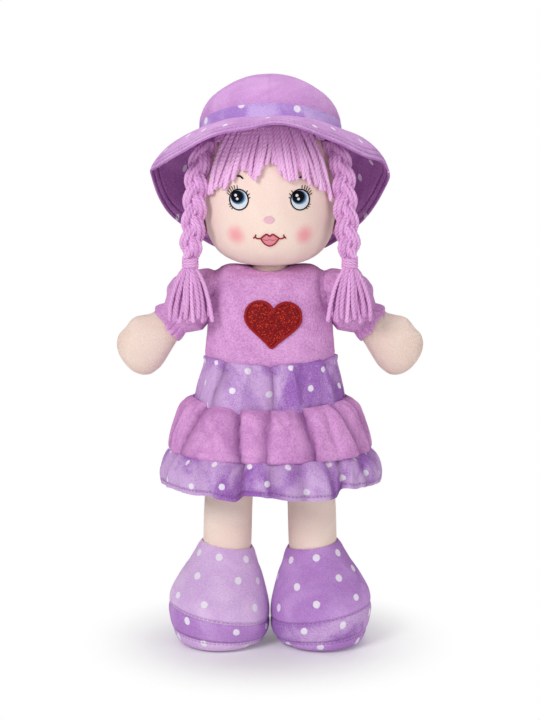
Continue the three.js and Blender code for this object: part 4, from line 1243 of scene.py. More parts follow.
class DOLL_OT_face(bpy.types.Operator):
    """Sews the eyes, lashes, brows, nose and lips on the head"""

    bl_idname = "doll.face"
    bl_label = "Stitched face"

    def execute(self, context):
        head = bpy.data.objects["head"]
        ground = front_of(head)
        for name, side in sides_of_doll.items():
            self.eye(name, side, head, ground)
        brows = [
            [(-22.2, 331.6), (-20.4, 331.6), (-18.0, 329.9)],
            [(19.6, 330.5), (21.6, 331.0), (23.8, 330.4)],
        ]
        brow = strands("brows", self.lines(brows, ground, 0.25), [0.62 * mm, 0.55 * mm], 8)
        coat(brow, thread("outline thread", colours().outline, 0.06))
        dress(brow, "head", "eye_stitching")
        nose = sewn_patch(
            "nose_stitching", oval(-0.6, 302.4, 3.6, 2.6), (-0.6, 302.4), head, 0.15, 0.45,
            thread("nose thread", colours().nose),
        )
        dress(nose, "head", "pink_stitching", "nose")
        self.mouth(head, ground)
        return {"FINISHED"}

    def lines(self, corner_sets, ground, lift):
        return [
            [ground(x, z, lift) for x, z in smooth_path(corners, 0.45)] for corners in corner_sets
        ]

    def eye(self, name, side, head, ground):
        x, z = side * 20.6 - 0.3, 315.8
        outline = thread("outline thread", colours().outline, 0.06)
        white = thread("white thread", colours().white, 0.4)
        layers = [
            (oval(x, z, 6.9, 7.5), (x, z), 0.10, 0.40, outline),
            (oval(x, z, 6.0, 6.6), (x, z), 0.32, 0.35, white),
            (oval(x - 0.5, z + 1.5, 5.2, 4.9), (x - 0.5, z + 1.5), 0.50, 0.32, thread("iris thread", colours().iris)),
            (
                oval(x - 0.85, z + 1.75, 4.7, 4.5),
                (x - 0.85, z + 1.75),
                0.66,
                0.30,
                thread("iris shade thread", colours().iris_deep),
            ),
            (oval(x - 1.25, z + 2.1, 4.15, 4.1), (x - 1.25, z + 2.1), 0.82, 0.30, outline),
            (oval(x - 2.2, z + 3.0, 1.05, 1.05, 14), (x - 2.2, z + 3.0), 1.0, 0.25, white),
            (oval(x - 1.15, z + 0.6, 0.95, 0.95, 14), (x - 1.15, z + 0.6), 1.0, 0.25, white),
        ]
        parts = [
            sewn_patch(f"{name}_eye_part", line, middle, head, lift, thick, finish)
            for line, middle, lift, thick, finish in layers
        ]
        lashes = []
        outer = [(22, 2.7), (33, 3.1), (44, 3.3), (55, 3.1), (66, 2.8), (79, 2.3)]
        inner = [(140, 1.9), (156, 2.1), (172, 1.8)]
        lower = [(-26, 1.8), (-38, 2.1), (-50, 1.9)]
        for degrees, reach in outer + inner + lower:
            turn = math.radians(degrees)
            away = (side * math.cos(turn), math.sin(turn))
            start = (x + 6.6 * away[0], z + 7.2 * away[1])
            bend = side * 0.5 if degrees > 100 else -side * 0.4
            end = (start[0] + reach * away[0] + bend, start[1] + reach * away[1] + 0.5)
            middle = ((start[0] + end[0]) / 2 + bend * 0.3, (start[1] + end[1]) / 2)
            lashes.append([start, middle, end])
        lash = strands(f"{name}_eye_lashes", self.lines(lashes, ground, 0.15), 0.3 * mm, 6)
        coat(lash, outline)
        whole = joined(f"{name}_eye_stitching", [*parts, lash])
        dress(whole, "head", "eye_stitching", f"{name}_eye")

    def mouth(self, head, ground):
        x, z = -0.2, 289.1
        top = [(-6.0, 0.6), (-4.0, 2.3), (-2.0, 3.5), (0, 2.2), (2.0, 3.5), (4.0, 2.3), (6.0, 0.6)]
        bottom = [(4.6, -1.6), (2.7, -3.5), (0, -4.5), (-2.7, -3.5), (-4.6, -1.6)]
        outline = [(x + a, z + b) for a, b in top + bottom]
        ring = smooth_path(outline + outline[:1], 1.2)[:-1]
        fill_patch = sewn_patch(
            "lip_part", ring, (x, z - 0.4), head, 0.1, 0.45, thread("lip thread", colours().lips)
        )
        line = thread("lip line thread", colours().lip_line)
        edge = [ground(a, b, 0.35) for a, b in smooth_path(outline + outline[:1], 0.6)[:-1]]
        rim = strands("lip_rim", [edge], 0.58 * mm, 8, closed=True)
        marks = [
            [(x - 5.8, z + 0.6), (x - 8.0, z + 0.5), (x - 10.0, z + 1.5)],
            [(x + 5.8, z + 0.6), (x + 8.0, z + 0.5), (x + 10.0, z + 1.5)],
            [(x - 11.0, z + 0.6), (x - 10.0, z + 1.6), (x - 9.2, z + 3.2)],
            [(x + 11.0, z + 0.6), (x + 10.0, z + 1.6), (x + 9.2, z + 3.2)],
            [(x - 4.8, z + 0.1), (x - 2.2, z - 0.5), (x, z - 0.1), (x + 2.2, z - 0.5), (x + 4.8, z + 0.1)],
        ]
        widths = [0.5 * mm] * 4 + [0.32 * mm]
        corners = strands("lip_marks", self.lines(marks, ground, 0.3), widths, 8)
        coat(rim, line)
        coat(corners, line)
        whole = joined("lip_stitching", [fill_patch, rim, corners])
        dress(whole, "head", "pink_stitching", "lips")


def waist_dip(turn, weight):
    """How far the waist seam hangs lower at the front."""
    return Vector((0, 0, -3.2 * mm * weight * math.exp(-((turn / 0.12) ** 2))))


class DOLL_OT_bodice(bpy.types.Operator):
    """Makes the bodice's front and back, the hips and the glitter heart"""

    bl_idname = "doll.bodice"
    bl_label = "Bodice and heart"

    def execute(self, context):
        stations = []
        for i in range(19):
            height = 201 + 57 * i / 18
            grow = through([201, 204, 208, 216, 232, 250, 258], [-1.6, 0.0, 1.2, 1.2, 0.7, 0.5, 1.2], height)
            stations.append((height, *body_size(height, grow), 0, 0))
        stations += [
            (261.4, 39.6, 24.2, 0, 0),
            (264.6, 36.6, 21.4, 0, 0),
            (266.9, 31.4, 18.8, 0, 0),
            (268.1, 25.4, 16.8, 0, 0),
            (268.3, 20.2, 15.4, 0, 0),
            (267.6, 15.2, 14.4, 0, 0),
        ]
        bodice = ring_form("bodice", stations, 80)

        def saddle(turn, share, place):
            """The waist hangs at the front, and the neck is cut lower at the front and back."""
            cut = 3.8 * mm * math.cos(full_turn * turn) ** 2 * max(0.0, (place.z - 258 * mm) / (10 * mm))
            return place + waist_dip(turn, 1 - min(1.0, share * 2)) - Vector((0, 0, min(cut, 3.8 * mm)))

        reshape(bodice, saddle)
        # Painted shade: the sides of the bodice are marked as fold valleys, so that its plush darkens there.
        mark_folds(bodice, [(-0.25, 1.0, 0.0, 0.11, 0.11), (0.25, 1.0, 0.0, 0.11, 0.11)])
        puffed(bodice, 0.03, 1.2, lambda ring, place: ring in (0, 1), pressure=1.0)
        rounded(bodice, 1)
        lumpy(bodice, 0.9, 38, 2)
        grooved(bodice, lambda place: place.y - neck_at.y, 3.0, 0.9)
        for name, side in sides_of_doll.items():
            self.armhole(bodice, side)
        names = ("bodice_back_panel", "bodice_front_panel")
        back, front = halves(bodice, names, (0, 1, 0), at(0, 0, 0))
        for piece, nodes in ((back, ("bodice_back",)), (front, ("bodice_front", "body_filling"))):
            thickened(piece, sizes().cloth)
            coat(piece, bodice_plush())
            dress(piece, "torso", "plush", *nodes)
        heights = [166, 166.3, 168, 171, 175, 180, 188, 196, 203]
        stations = [(height, *body_size(height, -0.6), 0, 0) for height in heights]
        hips = ring_form("hips", stations, 48, closed=("bottom", "top"))
        coat(rounded(hips, 1), skin_velour())
        dress(hips, "torso", "skin_cloth", "hip_panel")
        self.heart(front)
        return {"FINISHED"}

    def armhole(self, bodice, side):
        """Pulls the cloth in round the sewn-in sleeve."""
        shoulder = joint_at["left_arm_raise"] if side > 0 else joint_at["right_arm_raise"]

        def from_seam(place):
            flat = Vector((0, place.y - shoulder.y, place.z - shoulder.z))
            on_side = (place.x - shoulder.x) * side > -12 * mm
            return flat.length - 17.5 * mm if on_side else 1.0

        grooved(bodice, from_seam, 4.0, 1.6)

    def heart(self, front):
        waves = [0.87, -0.33, -0.13, -0.07]
        lean = math.radians(-3)

        def outline(grow, count):
            points = []
            for i in range(count):
                turn = full_turn * (i + 0.5) / count
                blunt = 0.3 * max(0.0, -math.cos(turn)) * math.sin(turn)
                x = (17.6 + grow) * (math.sin(turn) ** 3 + blunt)
                z = (15 + grow) * sum(share * math.cos((k + 1) * turn) for k, share in enumerate(waves))
                points.append((2 + x * math.cos(lean) - z * math.sin(lean), 232 + x * math.sin(lean) + z * math.cos(lean)))
            return points

        ground = front_of(front)
        panel = sewn_patch("heart_cloth", outline(0.6, 56), (2, 230.5), front, 0.15, 0.5, glitter(), rings=5)
        dress(panel, "torso", "heart_cloth", "heart_panel")
        path = [ground(x, z, 0.55) for x, z in outline(1.1, 150)]
        edge = strands("heart_edging", [path], 1.0 * mm, 10, closed=True)
        coat(edge, thread("heart edge thread", colours().heart_edge))
        dress(edge, "torso", "heart_stitching", "heart_border")


class DOLL_OT_skirt(bpy.types.Operator):
    """Gathers the three tiers of the skirt"""

    bl_idname = "doll.skirt"
    bl_label = "Gathered skirt"

    def execute(self, context):
        steep, wide = 0.011, 0.05
        upper = self.tier(
            "skirt_upper",
            (204.8, 156),
            ([0, 0.034, 0.2, 0.67, 1], [43.8, 46.4, 48.6, 54.5, 55.5], [30.4, 32.6, 34.8, 41.5, 43]),
            [
                (-0.205, 0.6, 0.02, wide, steep),
                (-0.122, 1.0, -0.018, steep, wide),
                (-0.05, 0.45, 0.02, 0.02, wide),
                (0.004, 1.0, 0.006, wide, steep),
                (0.078, 0.4, -0.01, 0.02, wide),
                (0.148, 0.8, 0.02, steep, wide),
                (0.225, 0.6, 0.01, wide, steep),
                *folds_of(6, 4, 0.5, 0.28, 0.74),
                *folds_of(13, 5, 1.6, -0.27, 0.27, 0.3),
            ],
            ([0, 0.04, 0.24, 0.5, 0.67, 1], [0.8, 4.6, 4.4, 2.2, 0.8, 0.8]),
            22,
        )
        middle = self.tier(
            "skirt_middle",
            (174.5, 136.5),
            (
                [0, 0.07, 0.2, 0.4, 0.7, 0.92, 1],
                [54.0, 58.6, 62.6, 65.6, 69.6, 71.2, 69.2],
                [41.0, 45.0, 48.8, 51.6, 55.4, 57.2, 55.4],
            ),
            [
                (-0.2, 0.8, -0.02, wide, steep),
                (-0.143, 0.9, -0.03, steep, wide),
                (-0.062, 1.0, 0.018, wide, steep),
                (0.0, 0.9, -0.006, 0.03, steep),
                (0.068, 1.0, 0.006, wide, steep),
                (0.14, 0.8, 0.035, steep, wide),
                (0.205, 0.9, 0.02, steep, wide),
                *folds_of(6, 11, 0.5, 0.26, 0.74),
                *folds_of(15, 12, 1.8, -0.27, 0.27, 0.36),
            ],
            ([0, 0.08, 0.3, 0.65, 0.9, 1], [3.0, 8.5, 8.0, 4.4, 2.4, 1.9]),
            18,
        )
        hem = self.tier(
            "skirt_hem",
            (138.5, 114.5),
            (
                [0, 0.1, 0.3, 0.55, 0.8, 1],
                [68.8, 70.6, 74.2, 76.4, 77.4, 77.0],
                [54.8, 56.6, 60.2, 62.6, 63.8, 63.6],
            ),
            [
                (-0.19, 0.6, -0.01, wide, steep),
                (-0.125, 0.4, 0.02, 0.02, wide),
                (-0.042, 1.0, 0.004, wide, steep),
                (0.0, 0.8, 0.0, steep, wide),
                (0.048, 0.8, 0.004, wide, steep),
                (0.092, 0.8, 0.006, steep, 0.03),
                (0.12, 1.0, -0.006, 0.03, steep),
                (0.168, 0.7, 0.01, wide, steep),
                (0.22, 0.6, 0.01, steep, wide),
                *folds_of(7, 23, 0.4, 0.26, 0.78),
                *folds_of(15, 24, 1.2, -0.27, 0.27, 0.3),
            ],
            ([0, 0.12, 0.5, 1], [1.5, 4.5, 5.0, 5.4]),
            12,
            (
                [-0.5, -0.35, -0.2, -0.1, -0.046, -0.036, 0.0, 0.044, 0.105, 0.116, 0.14, 0.18, 0.3, 0.5],
                [0.5, -1.5, 0.5, -0.5, -2.4, 2.4, 1.2, -1.8, -1.6, 4.6, 2.4, 1.6, -1.2, 0.5],
            ),
        )
        # The tiers' finishes paint shade in the valleys of their folds.
        thickened(upper, sizes().cloth)
        coat(upper, velour("folded velour", fold_shade=0.7))
        cloth_flat(upper, 0.050)
        dress(upper, "torso", "dotted_cloth", "skirt_upper_tier")
        for tier, finish, slot, node, tall in (
            (middle, tier_plush(), "plain_tier_cloth", "skirt_middle_tier", 0.040),
            (hem, velour("dotted hem velour", seams=(-3 * mm,), fold_shade=0.8), "dotted_cloth", "skirt_hem_tier", 0.026),
        ):
            base = tier.name
            names = (f"{base}_left", f"{base}_right")
            for half, side in zip(halves(tier, names, (1, 0, 0), at(0, 0, 0)), (1, -1)):
                thickened(half, sizes().cloth)
                coat(half, finish)
                cloth_flat(half, tall)
                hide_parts(node)
                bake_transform(half)
        return {"FINISHED"}

    def tier(self, name, heights, profile, folds, depths, rows, edge=None):
        """A gathered tier. Profile and depths give its sizes and the depth of its folds at shares of its drop,
        and edge the heights of its free hem round the turn."""
        high, low = heights
        shares, widths, deeps = profile
        stations = []
        for i in range(rows + 1):
            drop = i / rows
            stations.append((high + (low - high) * drop, through(shares, widths, drop), through(shares, deeps, drop), 0, 0))
        piece = ring_form(name, stations, 192)

        def drape(turn, share, place):
            height, wide, deep = stations[round(share * rows)][:3]
            most = through(*depths, share)
            fold = most * (puff(folds, turn, share) - 0.8)
            angle = turn * full_turn
            lift = through(*edge, turn) * share**2 if edge else 0.0
            dip = waist_dip(turn, {"skirt_upper": 1.0, "skirt_middle": (1 - share) ** 2, "skirt_hem": 0.0}[name])
            return at((wide + fold) * math.sin(angle), -(deep + fold) * math.cos(angle), height + lift) + dip

        reshape(piece, drape)
        mark_folds(piece, folds)
        unroll(piece, from_end=bool(edge))
        held = (lambda ring, place: ring == 0) if edge else (lambda ring, place: ring in (0, 1))
        puffed(piece, 0.05, 2.2, held, pressure=0.4)
        rounded(piece, 1)
        return piece


class DOLL_OT_arms(bpy.types.Operator):
    """Makes both arms with puffed sleeves, gathered cuffs and mitten hands"""

    bl_idname = "doll.arms"
    bl_label = "Arms and sleeves"

    def execute(self, context):
        skin, cloth_finish = skin_velour(), plush()
        parts = [
            (self.hand(), "arm_and_hand", skin, "arm", "skin_cloth", ("arm_skin", "arm_filling"), 0.8),
            (self.sleeve(), "sleeve_puff", cloth_finish, "arm", "plush", ("sleeve",), 0.6),
            (self.cuff(), "cuff_ruffle", cloth_finish, "arm", "plush", ("cuff",), None),
            (self.ball(4), "shoulder_stitch", thread("seam thread", colours().plush_deep), "shoulder", "filling",
             ("shoulder_knot",), 1.0),
            (self.ball(12.8), "shoulder_puff", cloth_finish, "shoulder", "plush", (), 0.6),
        ]
        for piece, name, finish, body, slot, nodes, fullness in parts:
            coat(piece, finish)
            piece.name = piece.data.name = f"left_{name}"
            for side, whole in (("left", piece), ("right", mirrored(piece, f"right_{name}"))):
                if fullness:
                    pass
                else:
                    cloth_flat(whole, 10 * mm)
                dress(whole, f"{side}_{body}", slot, *(f"{side}_{node}" for node in nodes))
        return {"FINISHED"}

    def hand(self):
        stations = [(20, 10.6, 10.6, 0, 0), (26, 10.7, 10.7, 0, 0)]
        for i in range(25):
            share = math.sin(math.pi / 2 * i / 24)
            wide = max(18.2 * through(hand_shares, hand_widths, share), 0.5)
            deep = max(13.5 * through(hand_shares, hand_depths, share), 0.5)
            stations.append((31 + 47 * share, wide, deep, 3.2 * min(1.0, share / 0.6), 0))
        piece = ring_form("hand", stations, 36, closed=("top", "bottom"))

        def thumb(turn, ring_share, place):
            share = (place.z / mm - 31) / 47
            upper = max(0.0, -math.sin(full_turn * turn)) ** 2
            bump = 3.6 * upper * math.exp(-(((share - 0.46) / 0.16) ** 2))
            return place - Vector((bump * mm, 0, 0))

        reshape(piece, thumb)
        rounded(piece, 1)
        return lie_along_arm(lumpy(piece, 0.5, 40, 5))

    def sleeve(self):
        count = 26
        stations = []
        for i in range(count + 1):
            along = -12 + 43.5 * i / count
            wide = 17.6 * through(sleeve_shares, sleeve_widths, (along + 16.6) / 47.6)
            stations.append((along, wide, wide, 0, 0))
        piece = ring_form("sleeve", stations, 96)
        armhole, wrist = folds_of(13, 31, 0.5), folds_of(17, 32, 0.3)

        def gathered(turn, share, place):
            away = Vector((place.x, place.y - neck_at.y, 0))
            near_body = max(0.0, 1 - abs(share - 0.3) / 0.3)
            near_wrist = max(0.0, (share - 0.55) / 0.45) ** 1.5
            move = 1.9 * near_body * (puff(armhole, turn, share) - 0.8) + 1.8 * near_wrist * (
                puff(wrist, turn, share) - 0.8
            )
            swell = 5.0 * max(0.0, -math.sin(full_turn * turn)) * math.sin(math.pi * min(1.0, share / 0.92)) ** 1.5
            return place + away.normalized() * (move + swell) * mm

        reshape(piece, gathered)
        puffed(piece, 0.05, 1.6, lambda ring, place: ring in (0, 1), pressure=1.0)
        rounded(piece, 1)
        lumpy(piece, 0.6, 60, 6)
        return lie_along_arm(thickened(piece, sizes().cloth))

    def cuff(self):
        heights = [27.5, 28.6, 29.6, 30.6, 32, 33.6, 35.2, 36.8, 37.6]
        widths = [13.4, 12.9, 12.5, 12.8, 13.4, 13.9, 14.3, 14.4, 13.9]
        piece = ring_form("cuff", [(h, w, w, 0, 0) for h, w in zip(heights, widths)], 108)
        folds = folds_of(15, 41, 0.2)

        def ruffled(turn, share, place):
            away = Vector((place.x, place.y - neck_at.y, 0)).normalized()
            move = 1.5 * (0.35 + share) * (puff(folds, turn, share) - 0.72)
            edge = 0.8 * share**2 * math.sin(full_turn * 5 * turn)
            return place + away * move * mm + Vector((0, 0, edge * mm))

        reshape(piece, ruffled)
        rounded(piece, 1)
        return lie_along_arm(thickened(piece, 1.3 * mm))

    def ball(self, radius):
        """A ball about the shoulder: the sewing knot, and the cloth that closes the sleeve's inner end."""
        fresh()
        bpy.ops.mesh.primitive_uv_sphere_add(segments=24, ring_count=14, radius=radius * mm, location=(0, 0, 0))
        piece = bpy.context.object
        piece.data.transform(Matrix.Translation(joint_at["left_arm_raise"]))
        bpy.ops.object.shade_smooth()
        return piece


class DOLL_OT_legs(bpy.types.Operator):
    """Makes both legs and the big soft shoes"""

    bl_idname = "doll.legs"
    bl_label = "Legs and shoes"

    def execute(self, context):
        leg = self.leg()
        # Painted light: a lighter copy of the skin velour for the legs, which lie in the skirt's shade.
        coat(leg, cloth("leg velour", colours().leg, colours().leg_deep, 22.0, 0.5, 1500.0))
        leg.name = leg.data.name = "left_leg_padded"
        for side, whole in (("left", leg), ("right", mirrored(leg, "right_leg_padded"))):
            dress(whole, f"{side}_leg", "skin_cloth", f"{side}_leg_skin", f"{side}_leg_filling")
        light = (colours().shoe, colours().shoe_light_deep)
        deep = (colours().shoe_away, colours().shoe_deep)
        for part, piece, seams in self.shoe():
            for side, whole in (("left", piece), ("right", mirrored(piece, f"right_shoe_{part}_cloth"))):
                if side == "left" and part == "band":
                    finish = velour("shoe band velour", seams, contrast=0.9)
                elif side == "right" and part != "band":
                    finish = velour("light shoe velour", seams, tones=light, contrast=0.6)
                else:
                    finish = velour("deep shoe velour", seams, tones=deep, contrast=0.7)
                coat(whole, finish)
                dress(whole, f"{side}_leg", "dotted_cloth", f"{side}_shoe_{part}")
        return {"FINISHED"}

    def leg(self):
        stations = [(58, 15.5, 15.5, 30.5, 0), (64, 16.6, 16.6, 30.5, 0)]
        for i in range(27):
            share = math.sin(math.pi / 2 * i / 26)
            height = 68 + 97.5 * share
            wide = max(17.5 * through(leg_heights, leg_widths, share), 0.5)
            x = 30.5 - 3 * min(1.0, share / 0.79)
            stations.append((height, wide, wide, x, 0))
        piece = ring_form("leg", stations, 40, closed=("top", "bottom"))
        rounded(piece, 1)
        return lumpy(piece, 0.7, 30, 8)

    def shoe(self):
        """The sole, the band and the upper, parted along seams that slope down to the doll's middle."""
        heights = [0.0, 0.0, 0.3, 1.2, 2.6, 4.4, 6.8] + [6.8 + 17.2 * k / 8 for k in range(1, 9)]
        heights += [24 + 45 * k / 18 for k in range(1, 19)]
        stations = []
        for i, height in enumerate(heights):
            share = height / 69
            wide = 35 * through(shoe_heights, shoe_widths, share)
            deep = 38 * through(shoe_heights, shoe_depths, share)
            if i < 2:
                wide, deep = (wide * 0.5, deep * 0.5) if i == 0 else (wide * 0.86, deep * 0.86)
            lean = through(shoe_heights, shoe_leans, share)
            stations.append((height, wide, deep, 30.5 + 5.5 * lean, -12 * lean))
        whole = ring_form("shoe", stations, 72, closed=("bottom",))

        def slope(turn, ring_share, place):
            height = place.z / mm
            fall = through([0, 1, 7, 24, 50, 69], [0, 0, 0.07, 0.17, 0.12, 0.14], height)
            return place + Vector((0, 0, fall * (place.x - 36 * mm)))

        reshape(whole, slope)
        unroll(whole, by_ring=True)
        puffed(whole, 0.03, 1.2, lambda ring, place: place.z < 2 * mm or ring > 0.99, pressure=1.0)
        lumpy(whole, 0.8, 28, 9)
        lines = [7, 14]
        parts = [("sole", 0, 7), ("band", 7, 14), ("upper", 14, 99)]
        mesh = whole.data
        ring = [value.value for value in mesh.attributes["ring"].data]
        pulled = [
            vertex.normal * (0.8 * mm if number in lines else 0.0) for vertex, number in zip(mesh.vertices, ring)
        ]
        for vertex, move in zip(mesh.vertices, pulled):
            vertex.co -= move
        length_up = [height_of_seam(whole, number) for number in lines]
        print_lines = tuple(line + 0.9 * mm for line in length_up) + (length_up[0] - 0.9 * mm,)
        made = []
        for name, first, last in parts:
            piece = whole.copy()
            piece.data = whole.data.copy()
            piece.name = piece.data.name = f"left_shoe_{name}_cloth"
            bpy.context.scene.collection.objects.link(piece)
            shape = bmesh.new()
            shape.from_mesh(piece.data)
            number = shape.verts.layers.int["ring"]
            away = [
                face for face in shape.faces
                if not all(first <= corner[number] <= last for corner in face.verts)
            ]
            bmesh.ops.delete(shape, geom=away, context="FACES")
            shape.to_mesh(piece.data)
            shape.free()
            rounded(piece, 1)
            thickened(piece, sizes().cloth)
            made.append((name, piece, print_lines))
        bpy.data.objects.remove(whole)
        return made


class DOLL_OT_hat(bpy.types.Operator):
    """Makes the crown with its middle seam, the dotted band and the wide brim with its lining"""

    bl_idname = "doll.hat"
    bl_label = "Hat"

    def execute(self, context):
        tilt = hat_matrix()
        stations = []
        for i in range(23):
            share = math.sin(math.pi / 2 * i / 22)
            wide = max(49.5 * through(crown_rises, crown_widths, share), 0.6)
            stations.append((10.3 + 37.2 * share, wide, wide, 0, 0))
        crown = ring_form("hat_crown", stations, 72, closed=("top",))
        puffed(crown, 0.02, 0.9, lambda ring, place: ring == 0, pressure=1.5)
        rounded(crown, 1)
        lumpy(crown, 0.7, 24, 12)
        grooved(crown, lambda place: place.x, 2.0, 0.15)
        crown.data.transform(tilt)
        names = ("hat_crown_left_cloth", "hat_crown_right_cloth")
        for half, node in zip(halves(crown, names, (1, 0, 0), at(0, 0, 0)), ("hat_crown_left", "hat_crown_right")):
            thickened(half, sizes().cloth)
            coat(half, hat_plush())
            dress(half, "hat", "hat_cloth", node)
        band = ring_form("hat_band_cloth", [(0.2 + 2.05 * i, 49.5, 49.5, 0, 0) for i in range(6)], 96)
        rounded(band, 1)
        lumpy(band, 0.5, 40, 13)
        band.data.transform(tilt)
        thickened(band, sizes().cloth)
        coat(band, velour("band velour", tones=(colours().band, colours().band_deep), spread=1.3))
        cloth_flat(band, 10 * mm)
        dress(band, "hat", "dotted_cloth", "hat_band")
        self.brim()
        return {"FINISHED"}

    def brim(self):
        tilt = hat_matrix()
        up = tilt.to_3x3() @ Vector((0, 0, 1))
        rows = 14
        stations = [(-i, 49.5 + 2.2 * i, 49.5 + 2.2 * i, 0, 0) for i in range(rows + 1)]
        brim = ring_form("hat_brim_cloth", stations, 128)

        def curve(turn, share, place):
            angle = full_turn * turn
            half_turn = abs(2 * turn)
            seam = tilt @ at(49.5 * math.sin(angle), -49.5 * math.cos(angle), 0)
            reach = 80 * through(brim_turns, brim_reaches, half_turn)
            fall = 102 * through(brim_turns, brim_falls, half_turn)
            wave = 1.1 * math.sin(7 * (angle if angle >= 0 else angle + full_turn))
            wave += 1.3 * math.sin(4 * angle + 1.9) + 0.7 * math.sin(11 * angle + 0.6)
            edge = at(reach * math.sin(angle), -reach * math.cos(angle), 367 - fall + wave)
            lift = 9 * (0.17 + 0.83 * min(2 * half_turn, 1.0))
            middle = (seam + edge) / 2 + up * 2 * lift * mm
            return seam * (1 - share) ** 2 + middle * (2 * share * (1 - share)) + edge * share**2

        reshape(brim, curve)
        facing_up(brim)
        puffed(brim, 0.02, 1.2, lambda ring, place: ring == 0, frames=10, pressure=0.0)
        lumpy(brim, 0.9, 22, 14)
        unroll(brim, from_end=True)
        lay_flat(brim, 49.5 * mm)
        lining = brim.copy()
        lining.data = brim.data.copy()
        lining.name = lining.data.name = "hat_brim_lining_cloth"
        bpy.context.scene.collection.objects.link(lining)
        ring = [value.value for value in brim.data.attributes["ring"].data]
        for piece, inset in ((brim, 0.0), (lining, 1.3)):
            moves = [-vertex.normal * inset * mm for vertex in piece.data.vertices]
            for vertex, move, number in zip(piece.data.vertices, moves, ring):
                if number == rows:
                    move -= vertex.normal * (1.1 if piece is brim else 0.0) * mm
                vertex.co += move
            rounded(piece, 1)
            thickened(piece, sizes().cloth)
            lines = (-2.8 * mm, -7.6 * mm)
            if piece is brim:
                coat(piece, velour("brim velour", lines, "Flat", (colours().brim, colours().brim_deep), 1.55, 0.6))
            else:
                # The lining's deeper tones paint shade on the underside of the brim.
                tones = (colours().lining, colours().lining_deep)
                coat(piece, velour("lining velour", lines, "Flat", tones, 1.55, 0.6))
            cloth_area(piece)
        dress(brim, "hat", "dotted_cloth", "hat_brim")
        dress(lining, "hat", "dotted_cloth", "hat_brim_lining")


class DOLL_OT_hair(bpy.types.Operator):
    """Sews the yarn over the back of the head and the fringe over the forehead"""

    bl_idname = "doll.hair"
    bl_label = "Hair and fringe"

    def execute(self, context):
        self.cap()
        self.fringe()
        return {"FINISHED"}

    def scalp(self, angle, height, out):
        """A point off the head, lifted straight off the skin also on top of the head."""
        wide, deep = head_size(height)
        level = min(1.0, wide / 47)
        lift = out * math.sqrt(1 - level**2)
        wide, deep = wide + out * level, deep + out * level
        turn = math.radians(angle)
        return at(wide * math.sin(turn), -deep * math.cos(turn), height + lift)

    def cap(self):
        """Yarn from the crown of the head down to the fringe, the plaits and the nape."""
        chance = random.Random(3)
        heights = [291 + 73 * i / 14 for i in range(15)] + [368, 372, 375.5, 378.5, 381, 383, 384.4]
        stations = [(height + 0.8, *head_size(height, 0.9), 0, 0) for height in heights]
        base = ring_form("hair_base", stations, 64, closed=("top",))

        def behind_front(vertex):
            low = 352 if vertex.co.y > neck_at.y - 28 * mm else 366
            return vertex.co.y > neck_at.y - 10 * mm or vertex.co.z > low * mm

        shape = bmesh.new()
        shape.from_mesh(base.data)
        away = [face for face in shape.faces if not all(behind_front(corner) for corner in face.verts)]
        bmesh.ops.delete(shape, geom=away, context="FACES")
        shape.to_mesh(base.data)
        shape.free()
        thickened(base, 0.8 * mm, 1.0)
        rounded(base, 1)
        coat(base, yarn_wool())
        paths = []
        count = 116
        for i in range(count):
            angle = 360 * i / count
            side = min(angle, 360 - angle)
            low = through([0, 44, 50, 74, 80, 180], [366, 366, 354, 352, 288, 288], side)
            low += chance.uniform(-1.5, 2.0)
            high = (384.6, 381.5, 383.6, 377.0)[i % 4]
            out = chance.uniform(-0.3, 0.4)
            points = []
            for k in range(37):
                drop = k / 36
                height = high - (high - low) * drop ** (1.6 if side > 76 else 1.0)
                off = through([287, 325, 340, 365, 380, 386], [2.6, 2.5, 1.8, 2.0, 3.4, 4.4], height)
                points.append(self.scalp(angle + chance.uniform(-0.3, 0.3), height, off + out))
            paths.append(points)
        yarns = strands("hair_yarns", paths, 1.5 * mm, 8)
        coat(yarns, yarn_wool())
        base.data.uv_layers[0].name = "Strand"
        whole = joined("hair_cap_yarn", [base, yarns])
        dress(whole, "head", "yarn", "hair_cap")

    def fringe(self):
        chance = random.Random(8)
        paths = []
        count = sizes().fringe_strands
        for row, out, number in ((0, 1.4, count - 5), (1, 3.0, count)):
            for i in range(number):
                place = 2 * (i + 0.5 + chance.uniform(-0.2, 0.2)) / number - 1
                side = math.copysign(1, place)
                top = 43 * place + chance.uniform(-1.5, 1.5)
                tip = 56 * place + side * 2.5 + chance.uniform(-2.6, 2.6)
                parting = 10 * max(0.0, 1 - abs(place) / 0.16)
                brow = (9 if place < 0 else 4) * math.exp(-(((abs(place) - 0.4) / 0.11) ** 2))
                low = 329.5 - 14 * abs(place) ** 2.2 + parting + brow + chance.uniform(-3.0, 3.0)
                low += 3 if row == 0 else 0
                sway = chance.uniform(-2.6, 2.6)
                points = []
                for k in range(37):
                    drop = k / 36
                    angle = top + (tip - top) * drop**1.2 + sway * math.sin(math.pi * drop)
                    height = 367 + (low - 367) * drop
                    lift = out + (0.6 if row else 0.2) * math.sin(math.pi * drop) - 0.9 * (1 - drop) ** 3
                    points.append(head_point(angle, height, lift))
                paths.append(points)
        piece = strands("fringe_yarn", paths, sizes().fringe_yarn, 9)
        # Painted light: the fringe is the plaits' yarn in a lighter tone, to make up for the shadow of the brim.
        coat(piece, yarn_wool("fringe yarn", (colours().fringe, colours().fringe_deep)))
        dress(piece, "head", "yarn", "fringe")


